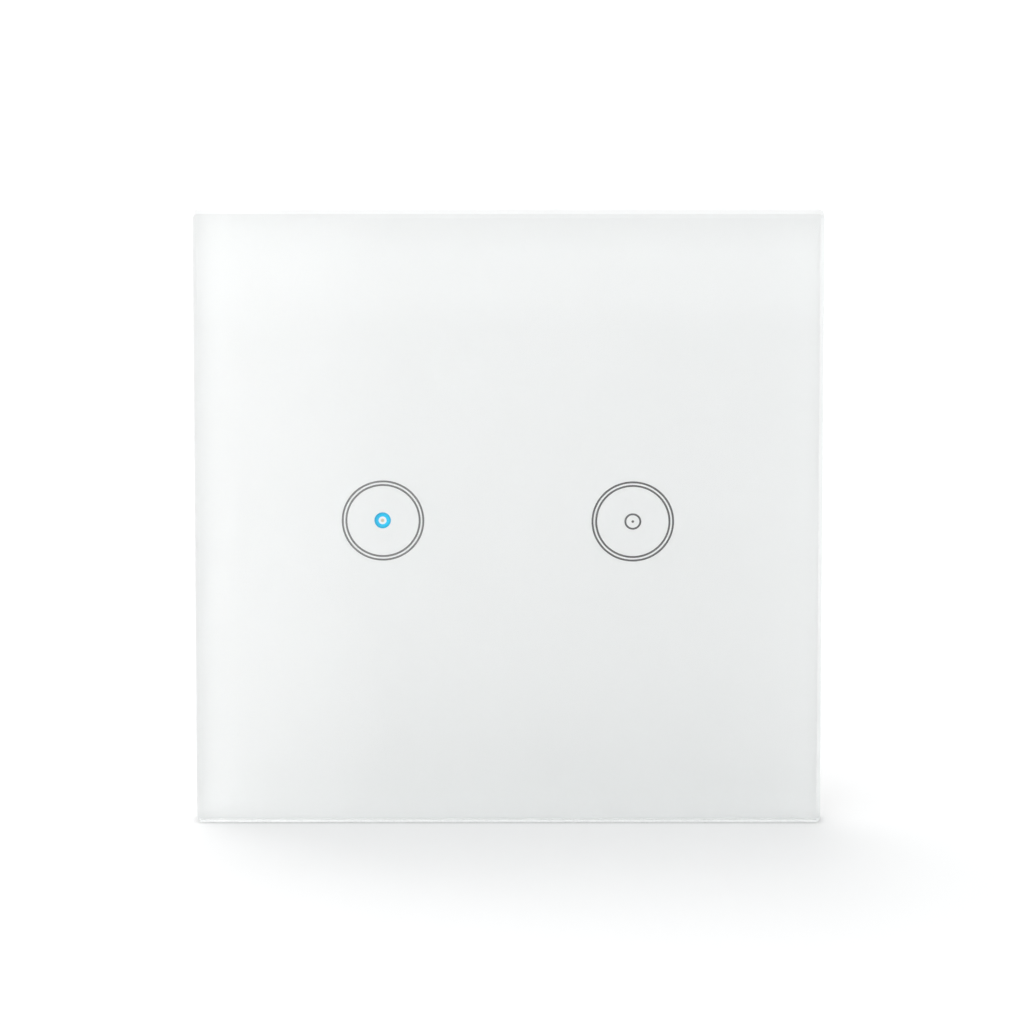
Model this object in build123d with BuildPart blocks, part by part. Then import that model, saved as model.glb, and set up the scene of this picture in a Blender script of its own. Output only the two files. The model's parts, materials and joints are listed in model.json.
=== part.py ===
from build123d import *

import os

# A two-gang glass touch switch for a wall box.
# Frame: +Z up, +X right, the glass faces -Y. The wall plane is Y = 0, and the origin is
# midway between the two wall-box screw slots. All sizes are in millimetres.

# Panel: glass, mask film, tape and moulded frame
plate_size = 86.0
plate_depth = 7.0
glass_t = 3.2
glass_corner_r = 0.6
glass_chamfer = 0.5
film_t = 0.2
film_margin = 0.03
tape_t = 0.15
tape_margin = 0.2
tape_width = 5.5
frame_inset = 0.3
frame_corner_r = 1.0
frame_plate_t = 1.2
skirt_t = 1.8
skirt_edge_r = 0.4
wall_gap = 0.3
pry_notch_width = 12.0
pry_notch_height = 1.2

# Touch keys
key_edge = 6.2
key_opening_r = 6.0
spring_r = 4.6
spring_wire_r = 0.3
spring_turns = 4.0
spring_gap = 0.1
guide_r = 2.3
guide_bore_r = 1.5
guide_foot = 1.0
led_size = 2.0
led_depth = 1.3
led_height = 0.7

# Wall fixing
fixing_pitch = 60.0
slot_width = 4.0
slot_length = 6.0
slot_pocket_depth = 0.5
slot_pocket_r = 4.2
slot_head_gap = 0.3

# Mounting frame
flange_t = 1.6
flange_gap = 1.2
flange_corner_r = 2.0
box_size = 50.0
box_chamfer = 9.5
box_wall = 1.6
tray_depth = 7.8
tray_floor_t = 1.2
lip_height = 1.0
lip_t = 1.0
lip_length = 24.0
seat_gap = 0.1

# Spring clips that hold the panel
clip_width = 6.0
clip_t = 0.3
clip_row = 22.0
clip_seat_length = 4.2
clip_reach = 0.8
clip_bump_back = 0.45
clip_tail_in = 1.15
clip_tail_back = 0.8
clip_flex_room = 1.1
clip_side_gap = 0.3
rib_depth = 0.7
rib_height = 0.45

# Circuit boards
board_t = 1.6
board_gap = 0.4
touch_board_front = 1.5
power_board_gap = 2.1
board_screw_r = 0.8
board_screw_head_r = 1.7
board_screw_head_t = 1.2
board_screw_length = 4.4
board_hole_r = 1.1
head_edge_share = 1 / 3
pilot_gap = 0.05
pilot_relief = 0.2
post_r = 1.9
touch_post_edge = 2.6
touch_post_z = 10.5
low_post_edge = 3.9
low_post_to_boss = 5.1
high_post_x = 11.0
high_post_edge = 3.4

# Small parts on the touch board
chip_length = 9.9
chip_width = 3.9
chip_height = 1.5
chip_drop = 6.5
chip_lead_reach = 1.0
chip_lead_width = 0.42
chip_lead_pitch = 1.27
chip_lead_t = 0.25
chip_lead_count = 7
wifi_width = 16.0
wifi_length = 24.0
wifi_board_t = 0.8
wifi_edge = 0.8
shield_length = 15.0
shield_inset = 0.8
shield_height = 2.2
shield_t = 0.2

# Board-to-board connector
connector_pins = 6
connector_pitch = 2.54
connector_rise = 1.0
connector_width = 2.5
pin_size = 0.64
pin_gap = 0.1
pin_tail = 1.0
socket_height = 4.5
socket_wall = 0.8
header_base_t = 2.0
header_reach = 3.4
window_gap = 0.45

# Housing screws
housing_screw_edge = 4.8
housing_screw_corner = 2.29
housing_screw_r = 1.15
housing_screw_head_r = 2.2
housing_screw_head_t = 1.5
housing_screw_length = 9.5
housing_boss_r = 2.3
housing_boss_gap = 0.35
drive_recess_width = 0.5
drive_recess_depth = 0.6
drive_recess_share = 0.62

# Rear housing details
housing_edge_r = 1.2
vent_count = 5
vent_width = 1.2
vent_length = 9.0
vent_pitch = 4.0
label_width = 24.0
label_height = 12.0
label_depth = 0.3
label_rise = 8.0

# Terminals: rising cages on captive screws
pole_count = 4
block_side_gap = 1.3
block_height = 14.2
block_gap = 0.2
wire_hole_r = 1.75
wire_way_gap = 0.35
wire_stop = 2.8
block_edge = 0.3
driver_well_r = 2.9
terminal_screw_r = 1.5
terminal_thread_gap = 0.05
terminal_head_r = 2.6
terminal_head_t = 1.8
terminal_head_room = 0.2
terminal_head_drop = 0.6
terminal_shelf_t = 0.8
terminal_shelf_gap = 0.1
terminal_slot_width = 0.8
terminal_slot_depth = 0.9
cage_width = 5.4
cage_length = 7.0
cage_wall = 1.2
cage_side_wall = 0.7
cage_edge_r = 0.35
cage_window = 4.7
cage_guide_gap = 0.2
cage_travel = 2.5
cage_end_gap = 0.2
bar_width = 3.4
bar_t = 1.0
bar_gap = 0.1
bar_end_seat = 0.7
bar_pin = 1.0
bar_pin_tail = 0.9
bar_tip_gap = 0.1

# Relays
relay_width = 10.2
relay_length = 17.4
relay_height = 15.3
relay_wall = 0.6
relay_side_gap = 0.6
relay_block_gap = 0.4
relay_room = 0.6
relay_base_t = 1.8
relay_edge_r = 0.5
cover_gap = 0.05
yoke_t = 1.0
yoke_width = 7.2
yoke_end_gap = 0.6
yoke_top_gap = 1.0
core_r = 1.8
pole_r = 2.8
pole_t = 0.8
pole_gap = 0.6
core_gap = 0.05
bobbin_tube_t = 0.55
bobbin_flange_r = 4.15
bobbin_flange_t = 0.7
winding_r = 3.9
winding_gap = 0.05
coil_top_gap = 0.45
armature_t = 1.0
armature_gap = 0.1
armature_room = 3.7
armature_lap = 0.2
armature_length = 10.0
leaf_t = 0.2
leaf_width = 3.0
leaf_overlap = 7.5
leaf_reach = 1.8
contact_r = 0.7
contact_t = 0.3
contact_break = 0.8
contact_post_t = 0.5
contact_post_rise = 1.9
relay_pin_width = 1.0
relay_pin_t = 0.6
relay_pin_tail = 0.9
relay_pin_gap = 0.1
relay_slot_gap = 0.3

# Mains parts between the relays
transformer_width = 13.6
transformer_length = 12.4
transformer_core_t = 5.0
transformer_leg = 1.8
transformer_end = 2.4
transformer_middle_leg = 3.8
transformer_rise = 2.9
transformer_height = 10.5
transformer_flange_t = 0.8
transformer_tube_t = 0.7
transformer_gap = 0.1
winding_side_gap = 0.3
winding_foot_gap = 0.9
bulk_capacitor_r = 4.0
bulk_capacitor_height = 12.5
bulk_capacitor_groove_rise = 2.0
bulk_capacitor_groove_width = 0.7
bulk_capacitor_groove_depth = 0.35
bulk_capacitor_edge_r = 0.5
film_capacitor_size = (10.0, 5.0, 11.0)
film_capacitor_edge_r = 0.4
varistor_r = 4.0
varistor_t = 3.4
varistor_edge_r = 1.1
varistor_lead_r = 0.35
varistor_lead_pitch = 5.0
varistor_rise = 1.0
lead_tail = 0.9
lead_hole_gap = 0.15
fuse_r = 1.3
fuse_length = 7.0
fuse_cap_length = 1.6
fuse_cap_t = 0.15
fuse_lead_r = 0.3
fuse_lead_reach = 0.8
bridge_size = (4.0, 4.7, 1.5)
bridge_place = (-10.0, 9.0)
bridge_leg = 0.7
part_gap = 0.7
row_gap = 0.5

# Depths along Y, worked out from the sizes above
glass_front = -plate_depth
glass_back = glass_front + glass_t
film_back = glass_back + film_t
tape_back = film_back + tape_t
frame_plate_back = tape_back + frame_plate_t
skirt_back = -wall_gap
flange_front = -flange_t
tray_floor_front = tray_depth - tray_floor_t
touch_board_back = touch_board_front + board_t
power_board_front = tray_depth + power_board_gap
power_board_back = power_board_front + board_t
relay_top = power_board_back + relay_height
housing_inside = relay_top + relay_room
housing_back = housing_inside + box_wall

# Widths, worked out from the sizes above
frame_size = plate_size - 2 * frame_inset
skirt_inside = frame_size - 2 * skirt_t
flange_size = skirt_inside - 2 * flange_gap
board_inset = box_wall + board_gap
chamfer_share = 2 - 2**0.5
inner_half = box_size / 2 - box_wall
flat_half = box_size / 2 - box_chamfer + (chamfer_share - 1) * box_wall
key_x = inner_half - key_edge
key_places = [(-key_x, 0), (key_x, 0)]
slot_places = [(-fixing_pitch / 2, 0), (fixing_pitch / 2, 0)]
housing_screw_x = inner_half - housing_screw_edge
housing_screw_z = inner_half + flat_half - housing_screw_corner * 2**0.5 - housing_screw_x
housing_screw_places = [
    (x, z) for x in (-housing_screw_x, housing_screw_x) for z in (-housing_screw_z, housing_screw_z)
]
pole_pitch = 2 * (housing_screw_x - housing_boss_r - block_side_gap) / pole_count
pole_places = [(i - (pole_count - 1) / 2) * pole_pitch for i in range(pole_count)]
touch_post_x = inner_half - touch_post_edge
touch_post_places = [(x, z) for x in (-touch_post_x, touch_post_x) for z in (-touch_post_z, touch_post_z)]
low_post = (inner_half - low_post_edge, low_post_to_boss - housing_screw_z)
high_post = (high_post_x, inner_half - high_post_edge)
power_post_places = [(s * x, z) for s in (-1, 1) for x, z in (low_post, high_post)]

# Terminal heights along Z, from the bottom wall up
block_bottom = -inner_half + block_gap
block_top = block_bottom + block_height
connector_z = block_top + connector_rise
connector_length = connector_pins * connector_pitch
connector_places = [
    ((i - (connector_pins - 1) / 2) * connector_pitch, connector_z) for i in range(connector_pins)
]
head_bottom = block_bottom + terminal_head_drop
head_top = head_bottom + terminal_head_t
shelf_bottom = head_top + terminal_shelf_gap
cage_room_bottom = shelf_bottom + terminal_shelf_t
cage_bottom = cage_room_bottom + cage_end_gap + cage_travel
cage_top = cage_bottom + 2 * cage_wall + cage_window
cage_room_top = cage_top + cage_end_gap
bar_bottom = cage_bottom + cage_wall + cage_end_gap
bar_top = bar_bottom + bar_t
wire_z = (bar_top + cage_bottom + cage_wall + cage_window) / 2
block_back = housing_inside - block_gap
cage_middle = (power_board_back + block_back) / 2 + cage_guide_gap
cage_room_half = cage_length / 2 + cage_guide_gap

# Relay depths along Y and heights along Z
relay_middle_x = inner_half - relay_side_gap - relay_width / 2
relay_inner_x = relay_middle_x - relay_width / 2
relay_sides = {"left": -relay_middle_x, "right": relay_middle_x}
relay_start = block_top + relay_block_gap
relay_end = relay_start + relay_length
relay_floor = power_board_back + relay_base_t
yoke_top = relay_top - relay_wall - yoke_top_gap
coil_axis = yoke_top - yoke_t - coil_top_gap - bobbin_flange_r
yoke_start = relay_start + relay_wall + yoke_end_gap
coil_start = yoke_start + yoke_t
armature_face = relay_end - relay_wall - armature_room
yoke_end = armature_face - armature_gap
pole_face = armature_face - pole_gap
pole_back = pole_face - pole_t
bobbin_end = pole_back - core_gap
armature_top = yoke_top + armature_lap
armature_bottom = armature_top - armature_length
leaf_bottom = armature_bottom - leaf_reach
contact_axis = leaf_bottom + contact_r
moving_contact_face = armature_face + armature_t - contact_t
fixed_contact_face = moving_contact_face - contact_break
contact_post_front = fixed_contact_face - contact_t - contact_post_t

# Places of the mains parts between the relays, in rows from the terminal block up
first_row_start = connector_z + pin_size / 2 + row_gap
varistor_place = (relay_inner_x - part_gap - varistor_r, first_row_start + varistor_t / 2)
fuse_lead_x = fuse_length / 2 + fuse_lead_reach
fuse_place = (
    fuse_lead_x + fuse_lead_r + part_gap - relay_inner_x,
    first_row_start + fuse_r + fuse_cap_t,
)
second_row_middle = first_row_start + varistor_t + row_gap + bulk_capacitor_r
bulk_capacitor_place = (bulk_capacitor_r + part_gap - relay_inner_x, second_row_middle)
film_capacitor_place = (relay_inner_x - part_gap - film_capacitor_size[0] / 2, second_row_middle)
transformer_middle_z = second_row_middle + bulk_capacitor_r + row_gap + transformer_length / 2

os.makedirs("parts", exist_ok=True)


def at_depth(y):
    """Plane facing the viewer at depth y, with its own x along X and its own y along Z."""
    return Plane.XZ.offset(-y)


def across(z):
    """Level plane at height z, with its own x along X and its own y along Y."""
    return Plane.XY.offset(z)


def octagon(inset):
    """Outline of the box that goes into the wall, drawn in by an inset, in the open sketch."""
    with BuildSketch(mode=Mode.PRIVATE) as outline:
        Rectangle(box_size - 2 * inset, box_size - 2 * inset)
        chamfer(outline.vertices(), length=box_chamfer - chamfer_share * inset)
    add(outline.sketch)


def block(x_range, y_range, z_range, mode=Mode.ADD):
    """Box between three pairs of limits, in the open part."""
    spans = [high - low for low, high in (x_range, y_range, z_range)]
    middle = [(high + low) / 2 for low, high in (x_range, y_range, z_range)]
    with Locations(tuple(middle)):
        Box(*spans, mode=mode)


def save(piece, node):
    """Name a finished piece and write it."""
    piece.part.label = node
    export_step(piece.part, f"parts/{node}.step")


def board_screws(places, seat, head_direction, node):
    """Pan-head screws along Y whose heads sit at depth seat; head_direction is -1 for heads in front."""
    with BuildPart() as screws:
        with BuildSketch(at_depth(seat)):
            with Locations(*places):
                Circle(board_screw_head_r)
        extrude(amount=-head_direction * board_screw_head_t)
        head_faces = screws.faces().filter_by(Axis.Y).sort_by(Axis.Y, reverse=head_direction > 0)
        chamfer(head_faces[: len(places)].edges(), length=head_edge_share * board_screw_head_t)
        with BuildSketch(at_depth(seat)):
            with Locations(*places):
                Circle(board_screw_r)
        extrude(amount=head_direction * board_screw_length)
        with BuildSketch(at_depth(seat + head_direction * board_screw_head_t)):
            cross_recess(places, board_screw_head_r)
        extrude(amount=head_direction * drive_recess_depth, mode=Mode.SUBTRACT)
    save(screws, node)


def cross_recess(places, head_r):
    """Cross-shaped driver recess at each place, in the open sketch."""
    recess_length = 2 * head_r * drive_recess_share
    with Locations(*places):
        Rectangle(recess_length, drive_recess_width)
        Rectangle(drive_recess_width, recess_length)


# Panel

with BuildPart() as glass_panel:
    with BuildSketch(at_depth(glass_back)):
        RectangleRounded(plate_size, plate_size, glass_corner_r)
    extrude(amount=glass_t)
    front = glass_panel.faces().sort_by(Axis.Y)[0]
    chamfer(front.edges(), length=glass_chamfer)
save(glass_panel, "glass_panel")

with BuildPart() as mask_film:
    with BuildSketch(at_depth(film_back)):
        film_size = plate_size - 2 * film_margin
        RectangleRounded(film_size, film_size, glass_corner_r - film_margin)
    extrude(amount=film_t)
save(mask_film, "mask_film")

with BuildPart() as panel_adhesive:
    with BuildSketch(at_depth(tape_back)):
        tape_size = frame_size - 2 * tape_margin
        Rectangle(tape_size, tape_size)
        Rectangle(tape_size - 2 * tape_width, tape_size - 2 * tape_width, mode=Mode.SUBTRACT)
    extrude(amount=tape_t)
save(panel_adhesive, "panel_adhesive")

clip_apex = flange_size / 2 + clip_reach
clip_seat_front = flange_front - clip_t
clip_bump_y = clip_seat_front + clip_t / 2 + clip_bump_back
rib_front = skirt_back - rib_height

with BuildPart() as panel_frame:
    with BuildSketch(at_depth(skirt_back)):
        RectangleRounded(frame_size, frame_size, frame_corner_r)
    extrude(amount=skirt_back - tape_back)
    fillet(panel_frame.faces().sort_by(Axis.Y)[-1].edges(), radius=skirt_edge_r)
    with BuildSketch(at_depth(skirt_back)):
        Rectangle(skirt_inside, skirt_inside)
    extrude(amount=skirt_back - frame_plate_back, mode=Mode.SUBTRACT)
    with BuildSketch(at_depth(frame_plate_back)):
        with Locations(*key_places):
            Circle(key_opening_r)
        with Locations(*slot_places):
            SlotCenterToCenter(slot_length - slot_width, 2 * (slot_pocket_r + slot_head_gap))
    extrude(amount=frame_plate_t, mode=Mode.SUBTRACT)
    for z in (-clip_row, clip_row):
        for side in (-1, 1):
            rib_x = sorted((side * (skirt_inside / 2 - rib_depth), side * (skirt_inside / 2 + skirt_t / 2)))
            block(rib_x, (rib_front, skirt_back), (z - clip_width / 2, z + clip_width / 2))
    block(
        (-pry_notch_width / 2, pry_notch_width / 2),
        (skirt_back - pry_notch_height, skirt_back),
        (-frame_size / 2, -skirt_inside / 2),
        mode=Mode.SUBTRACT,
    )
save(panel_frame, "panel_frame")

# Mounting frame and its clips

socket_floor_window = (connector_length + 2 * window_gap, connector_width + 2 * window_gap)
board_pilot_r = board_screw_r + pilot_gap

with BuildPart() as mounting_frame:
    with BuildSketch(at_depth(0)):
        RectangleRounded(flange_size, flange_size, flange_corner_r)
    extrude(amount=flange_t)
    with BuildSketch(at_depth(0)):
        octagon(0)
    extrude(amount=-tray_depth)
    with BuildSketch(at_depth(tray_floor_front)):
        octagon(box_wall)
    extrude(amount=tray_floor_front + flange_t, mode=Mode.SUBTRACT)
    with BuildSketch(at_depth(tray_floor_front)):
        with Locations(*touch_post_places):
            Circle(post_r)
    extrude(amount=tray_floor_front - touch_board_back)
    with BuildSketch(at_depth(tray_depth)):
        with Locations(*power_post_places):
            Circle(post_r)
    extrude(amount=-power_board_gap)
    lip_out = inner_half - seat_gap - lip_t / 2
    with BuildSketch(at_depth(tray_depth)):
        with Locations((0, -lip_out), (0, lip_out)):
            Rectangle(lip_length, lip_t)
        with Locations((-lip_out, 0), (lip_out, 0)):
            Rectangle(lip_t, lip_length)
    extrude(amount=-lip_height)
    with BuildSketch(at_depth(touch_board_back)):
        with Locations(*touch_post_places):
            Circle(board_pilot_r)
    extrude(amount=-(board_screw_length - board_t + pilot_relief), mode=Mode.SUBTRACT)
    with BuildSketch(at_depth(power_board_front)):
        with Locations(*power_post_places):
            Circle(board_pilot_r)
    extrude(amount=board_screw_length - board_t + pilot_relief, mode=Mode.SUBTRACT)
    with BuildSketch(at_depth(tray_depth)):
        with Locations((0, connector_z)):
            Rectangle(*socket_floor_window)
        with Locations(*housing_screw_places):
            Circle(housing_screw_r + pilot_gap)
    extrude(amount=tray_floor_t, mode=Mode.SUBTRACT)
    with BuildSketch(at_depth(0)):
        with Locations(*slot_places):
            SlotOverall(slot_length, slot_width)
    extrude(amount=flange_t, mode=Mode.SUBTRACT)
    with BuildSketch(at_depth(flange_front + slot_pocket_depth)):
        with Locations(*slot_places):
            SlotCenterToCenter(slot_length - slot_width, 2 * slot_pocket_r)
    extrude(amount=slot_pocket_depth, mode=Mode.SUBTRACT)
    for z in (-clip_row, clip_row):
        for side in (-1, 1):
            notch_x = sorted((side * (flange_size / 2 - clip_flex_room), side * flange_size / 2))
            notch_half = clip_width / 2 + clip_side_gap
            block(notch_x, (flange_front, 0), (z - notch_half, z + notch_half), mode=Mode.SUBTRACT)
save(mounting_frame, "mounting_frame")

with BuildPart() as panel_clips:
    clip_middle = clip_seat_front + clip_t / 2
    bend_x = clip_apex - clip_t / 2
    with BuildSketch(across(clip_row - clip_width / 2)):
        with BuildLine():
            clip_line = Polyline(
                (bend_x - clip_seat_length - clip_flex_room, clip_middle),
                (bend_x - clip_flex_room, clip_middle),
                (bend_x, clip_bump_y),
                (bend_x - clip_tail_in, clip_bump_y + clip_tail_back),
            )
            offset(amount=clip_t / 2, side=Side.BOTH, kind=Kind.INTERSECTION)
        make_face()
    extrude(amount=clip_width)
    mirror(about=Plane.XY)
    mirror(about=Plane.YZ)
save(panel_clips, "panel_clips")

# Touch board with its keys

with BuildPart() as touch_board:
    with BuildSketch(at_depth(touch_board_back)):
        octagon(board_inset)
        with Locations(*touch_post_places):
            Circle(board_hole_r, mode=Mode.SUBTRACT)
    extrude(amount=board_t)
save(touch_board, "touch_board")

board_screws(touch_post_places, touch_board_front, -1, "touch_board_screws")

for side, place in zip(("left", "right"), key_places):
    spring_foot = touch_board_front - spring_wire_r
    spring_tip = film_back + spring_gap + spring_wire_r
    with BuildPart() as touch_spring:
        with BuildLine():
            coil = Helix(
                pitch=(spring_foot - spring_tip) / spring_turns,
                height=spring_foot - spring_tip,
                radius=spring_r,
                center=(place[0], spring_foot, place[1]),
                direction=(0, -1, 0),
            )
        with BuildSketch(Plane(coil @ 0, z_dir=coil % 0)):
            Circle(spring_wire_r)
        sweep(path=coil, is_frenet=True)
    save(touch_spring, f"touch_spring_{side}")

    with BuildPart() as light_guide:
        with BuildSketch(at_depth(touch_board_front)):
            with Locations(place):
                Circle(guide_r)
        extrude(amount=touch_board_front - film_back - spring_gap)
        with BuildSketch(at_depth(touch_board_front)):
            with Locations(place):
                Circle(guide_bore_r)
        extrude(amount=guide_foot, mode=Mode.SUBTRACT)
    save(light_guide, f"light_guide_{side}")

    with BuildPart() as led:
        with BuildSketch(at_depth(touch_board_front)):
            with Locations(place):
                Rectangle(led_size, led_depth)
        extrude(amount=led_height)
    save(led, f"led_{side}")

with BuildPart() as touch_chip:
    with BuildSketch(at_depth(touch_board_front)):
        with Locations((0, -chip_drop)):
            Rectangle(chip_length, chip_width)
    extrude(amount=chip_height)
    with BuildSketch(at_depth(touch_board_front)):
        with Locations((0, -chip_drop)):
            with GridLocations(chip_lead_pitch, 0, chip_lead_count, 1):
                Rectangle(chip_lead_width, chip_width + 2 * chip_lead_reach)
    extrude(amount=chip_lead_t)
save(touch_chip, "touch_chip")

wifi_top = inner_half - wifi_edge
wifi_bottom = wifi_top - wifi_length
wifi_back = touch_board_back + wifi_board_t
shield_x = wifi_width / 2 - shield_inset
shield_z = (wifi_bottom + shield_inset, wifi_bottom + shield_inset + shield_length)

with BuildPart() as wifi_board:
    block((-wifi_width / 2, wifi_width / 2), (touch_board_back, wifi_back), (wifi_bottom, wifi_top))
save(wifi_board, "wifi_board")

with BuildPart() as wifi_shield:
    block((-shield_x, shield_x), (wifi_back, wifi_back + shield_height), shield_z)
    open_face = wifi_shield.faces().sort_by(Axis.Y)[0]
    offset(amount=-shield_t, openings=open_face)
save(wifi_shield, "wifi_shield")

# Connector between the two boards

pin_front = power_board_front - header_base_t - header_reach
socket_back = touch_board_back + socket_height

with BuildPart() as board_socket:
    with BuildSketch(at_depth(socket_back)):
        with Locations((0, connector_z)):
            Rectangle(connector_length, connector_width)
    extrude(amount=socket_height)
    with BuildSketch(at_depth(socket_back)):
        with Locations(*connector_places):
            Rectangle(pin_size + 2 * pin_gap, pin_size + 2 * pin_gap)
    extrude(amount=socket_height - socket_wall, mode=Mode.SUBTRACT)
save(board_socket, "board_socket")

with BuildPart() as pin_header:
    with BuildSketch(at_depth(power_board_front)):
        with Locations((0, connector_z)):
            Rectangle(connector_length, connector_width)
    extrude(amount=header_base_t)
    with BuildSketch(at_depth(power_board_back + pin_tail)):
        with Locations(*connector_places):
            Rectangle(pin_size, pin_size)
    extrude(amount=power_board_back + pin_tail - pin_front)
save(pin_header, "pin_header")

# Power board, with a hole for each pin that goes through it

bar_pin_places = [(x, (bar_bottom + bar_top) / 2) for x in pole_places]
relay_pin_z = [yoke_start + yoke_t / 2, contact_post_front + contact_post_t / 2]
relay_pin_places = [(x, z) for x in relay_sides.values() for z in relay_pin_z]
varistor_lead_places = [
    (varistor_place[0] + s * varistor_lead_pitch / 2, varistor_place[1]) for s in (-1, 1)
]
fuse_lead_places = [(fuse_place[0] + s * fuse_lead_x, fuse_place[1]) for s in (-1, 1)]
square_to_round = 2**0.5 / 2

with BuildPart() as power_board:
    with BuildSketch(at_depth(power_board_back)):
        octagon(board_inset)
        with Locations(*housing_screw_places):
            Circle(housing_boss_r + housing_boss_gap, mode=Mode.SUBTRACT)
        with Locations(*power_post_places):
            Circle(board_hole_r, mode=Mode.SUBTRACT)
        with Locations(*connector_places):
            Circle(pin_size * square_to_round + lead_hole_gap, mode=Mode.SUBTRACT)
        with Locations(*bar_pin_places):
            Circle(bar_pin * square_to_round + lead_hole_gap, mode=Mode.SUBTRACT)
        with Locations(*relay_pin_places):
            SlotOverall(
                relay_pin_width + 2 * relay_slot_gap,
                relay_pin_t + 2 * lead_hole_gap,
                mode=Mode.SUBTRACT,
            )
        with Locations(*varistor_lead_places):
            Circle(varistor_lead_r + lead_hole_gap, mode=Mode.SUBTRACT)
        with Locations(*fuse_lead_places):
            Circle(fuse_lead_r + lead_hole_gap, mode=Mode.SUBTRACT)
    extrude(amount=board_t)
save(power_board, "power_board")

board_screws(power_post_places, power_board_back, 1, "power_board_screws")

# Rear housing and its screws

with BuildPart() as rear_housing:
    with BuildSketch(at_depth(housing_back)):
        octagon(0)
    extrude(amount=housing_back - tray_depth)
    fillet(rear_housing.faces().sort_by(Axis.Y)[-1].edges(), radius=housing_edge_r)
    with BuildSketch(at_depth(housing_inside)):
        octagon(box_wall)
    extrude(amount=housing_inside - tray_depth, mode=Mode.SUBTRACT)
    with BuildSketch(at_depth(housing_inside)):
        with Locations(*housing_screw_places):
            Circle(housing_boss_r)
    extrude(amount=housing_inside - tray_depth)
    with BuildSketch(at_depth(tray_depth)):
        with Locations(*housing_screw_places):
            Circle(housing_screw_r + pilot_gap)
    extrude(amount=-(housing_screw_length - tray_floor_t + pilot_relief), mode=Mode.SUBTRACT)
    with BuildSketch(at_depth(housing_back)):
        with Locations(*[(x, wire_z) for x in pole_places]):
            Circle(wire_hole_r)
    extrude(amount=box_wall, mode=Mode.SUBTRACT)
    with BuildSketch(across(-box_size / 2)):
        with Locations(*[(x, cage_middle) for x in pole_places]):
            Circle(driver_well_r)
    extrude(amount=box_wall, mode=Mode.SUBTRACT)
    with BuildSketch(across(box_size / 2)):
        with Locations((0, (tray_depth + housing_back) / 2)):
            with GridLocations(vent_pitch, 0, vent_count, 1):
                SlotOverall(vent_length, vent_width, rotation=90)
    extrude(amount=-box_wall, mode=Mode.SUBTRACT)
    with BuildSketch(at_depth(housing_back)):
        with Locations((0, label_rise)):
            Rectangle(label_width, label_height)
    extrude(amount=label_depth, mode=Mode.SUBTRACT)
save(rear_housing, "rear_housing")

with BuildPart() as housing_screws:
    with BuildSketch(at_depth(tray_floor_front)):
        with Locations(*housing_screw_places):
            Circle(housing_screw_head_r)
    extrude(amount=housing_screw_head_t)
    head_fronts = housing_screws.faces().filter_by(Axis.Y).sort_by(Axis.Y)[: len(housing_screw_places)]
    chamfer(head_fronts.edges(), length=head_edge_share * housing_screw_head_t)
    with BuildSketch(at_depth(tray_floor_front)):
        with Locations(*housing_screw_places):
            Circle(housing_screw_r)
    extrude(amount=-housing_screw_length)
    with BuildSketch(at_depth(tray_floor_front - housing_screw_head_t)):
        cross_recess(housing_screw_places, housing_screw_head_r)
    extrude(amount=-drive_recess_depth, mode=Mode.SUBTRACT)
save(housing_screws, "housing_screws")

# Terminals

cage_room_y = (cage_middle - cage_room_half, cage_middle + cage_room_half)
cage_room_x = cage_width / 2 + cage_guide_gap
bar_slot_x = bar_width / 2 + bar_gap
bar_end = cage_room_y[1] + bar_end_seat
window_x = cage_width / 2 - cage_side_wall

with BuildPart() as terminal_block:
    block_x = pole_count * pole_pitch / 2
    block((-block_x, block_x), (power_board_back, block_back), (block_bottom, block_top))
    chamfer(terminal_block.faces().sort_by(Axis.Z)[-1].edges(), length=block_edge)
    with BuildSketch(across(block_bottom)):
        with Locations(*[(x, cage_middle) for x in pole_places]):
            Circle(terminal_head_r + terminal_head_room)
    extrude(amount=shelf_bottom - block_bottom, mode=Mode.SUBTRACT)
    with BuildSketch(across(shelf_bottom)):
        with Locations(*[(x, cage_middle) for x in pole_places]):
            Circle(terminal_screw_r + terminal_shelf_gap)
    extrude(amount=terminal_shelf_t, mode=Mode.SUBTRACT)
    for x in pole_places:
        block(
            (x - cage_room_x, x + cage_room_x),
            cage_room_y,
            (cage_room_bottom, cage_room_top),
            mode=Mode.SUBTRACT,
        )
        block(
            (x - bar_slot_x, x + bar_slot_x),
            (power_board_back, bar_end + bar_gap),
            (bar_bottom - bar_gap, bar_top + bar_gap),
            mode=Mode.SUBTRACT,
        )
    with BuildSketch(at_depth(block_back)):
        with Locations(*[(x, wire_z) for x in pole_places]):
            Circle(wire_hole_r + wire_way_gap)
    extrude(amount=block_back - cage_room_y[0] + wire_stop, mode=Mode.SUBTRACT)
save(terminal_block, "terminal_block")

with BuildPart() as terminal_bars:
    for x in pole_places:
        block(
            (x - bar_width / 2, x + bar_width / 2),
            (power_board_back, bar_end),
            (bar_bottom, bar_top),
        )
        block(
            (x - bar_pin / 2, x + bar_pin / 2),
            (power_board_front - bar_pin_tail, power_board_back),
            (bar_bottom, bar_top),
        )
save(terminal_bars, "terminal_bars")

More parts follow.
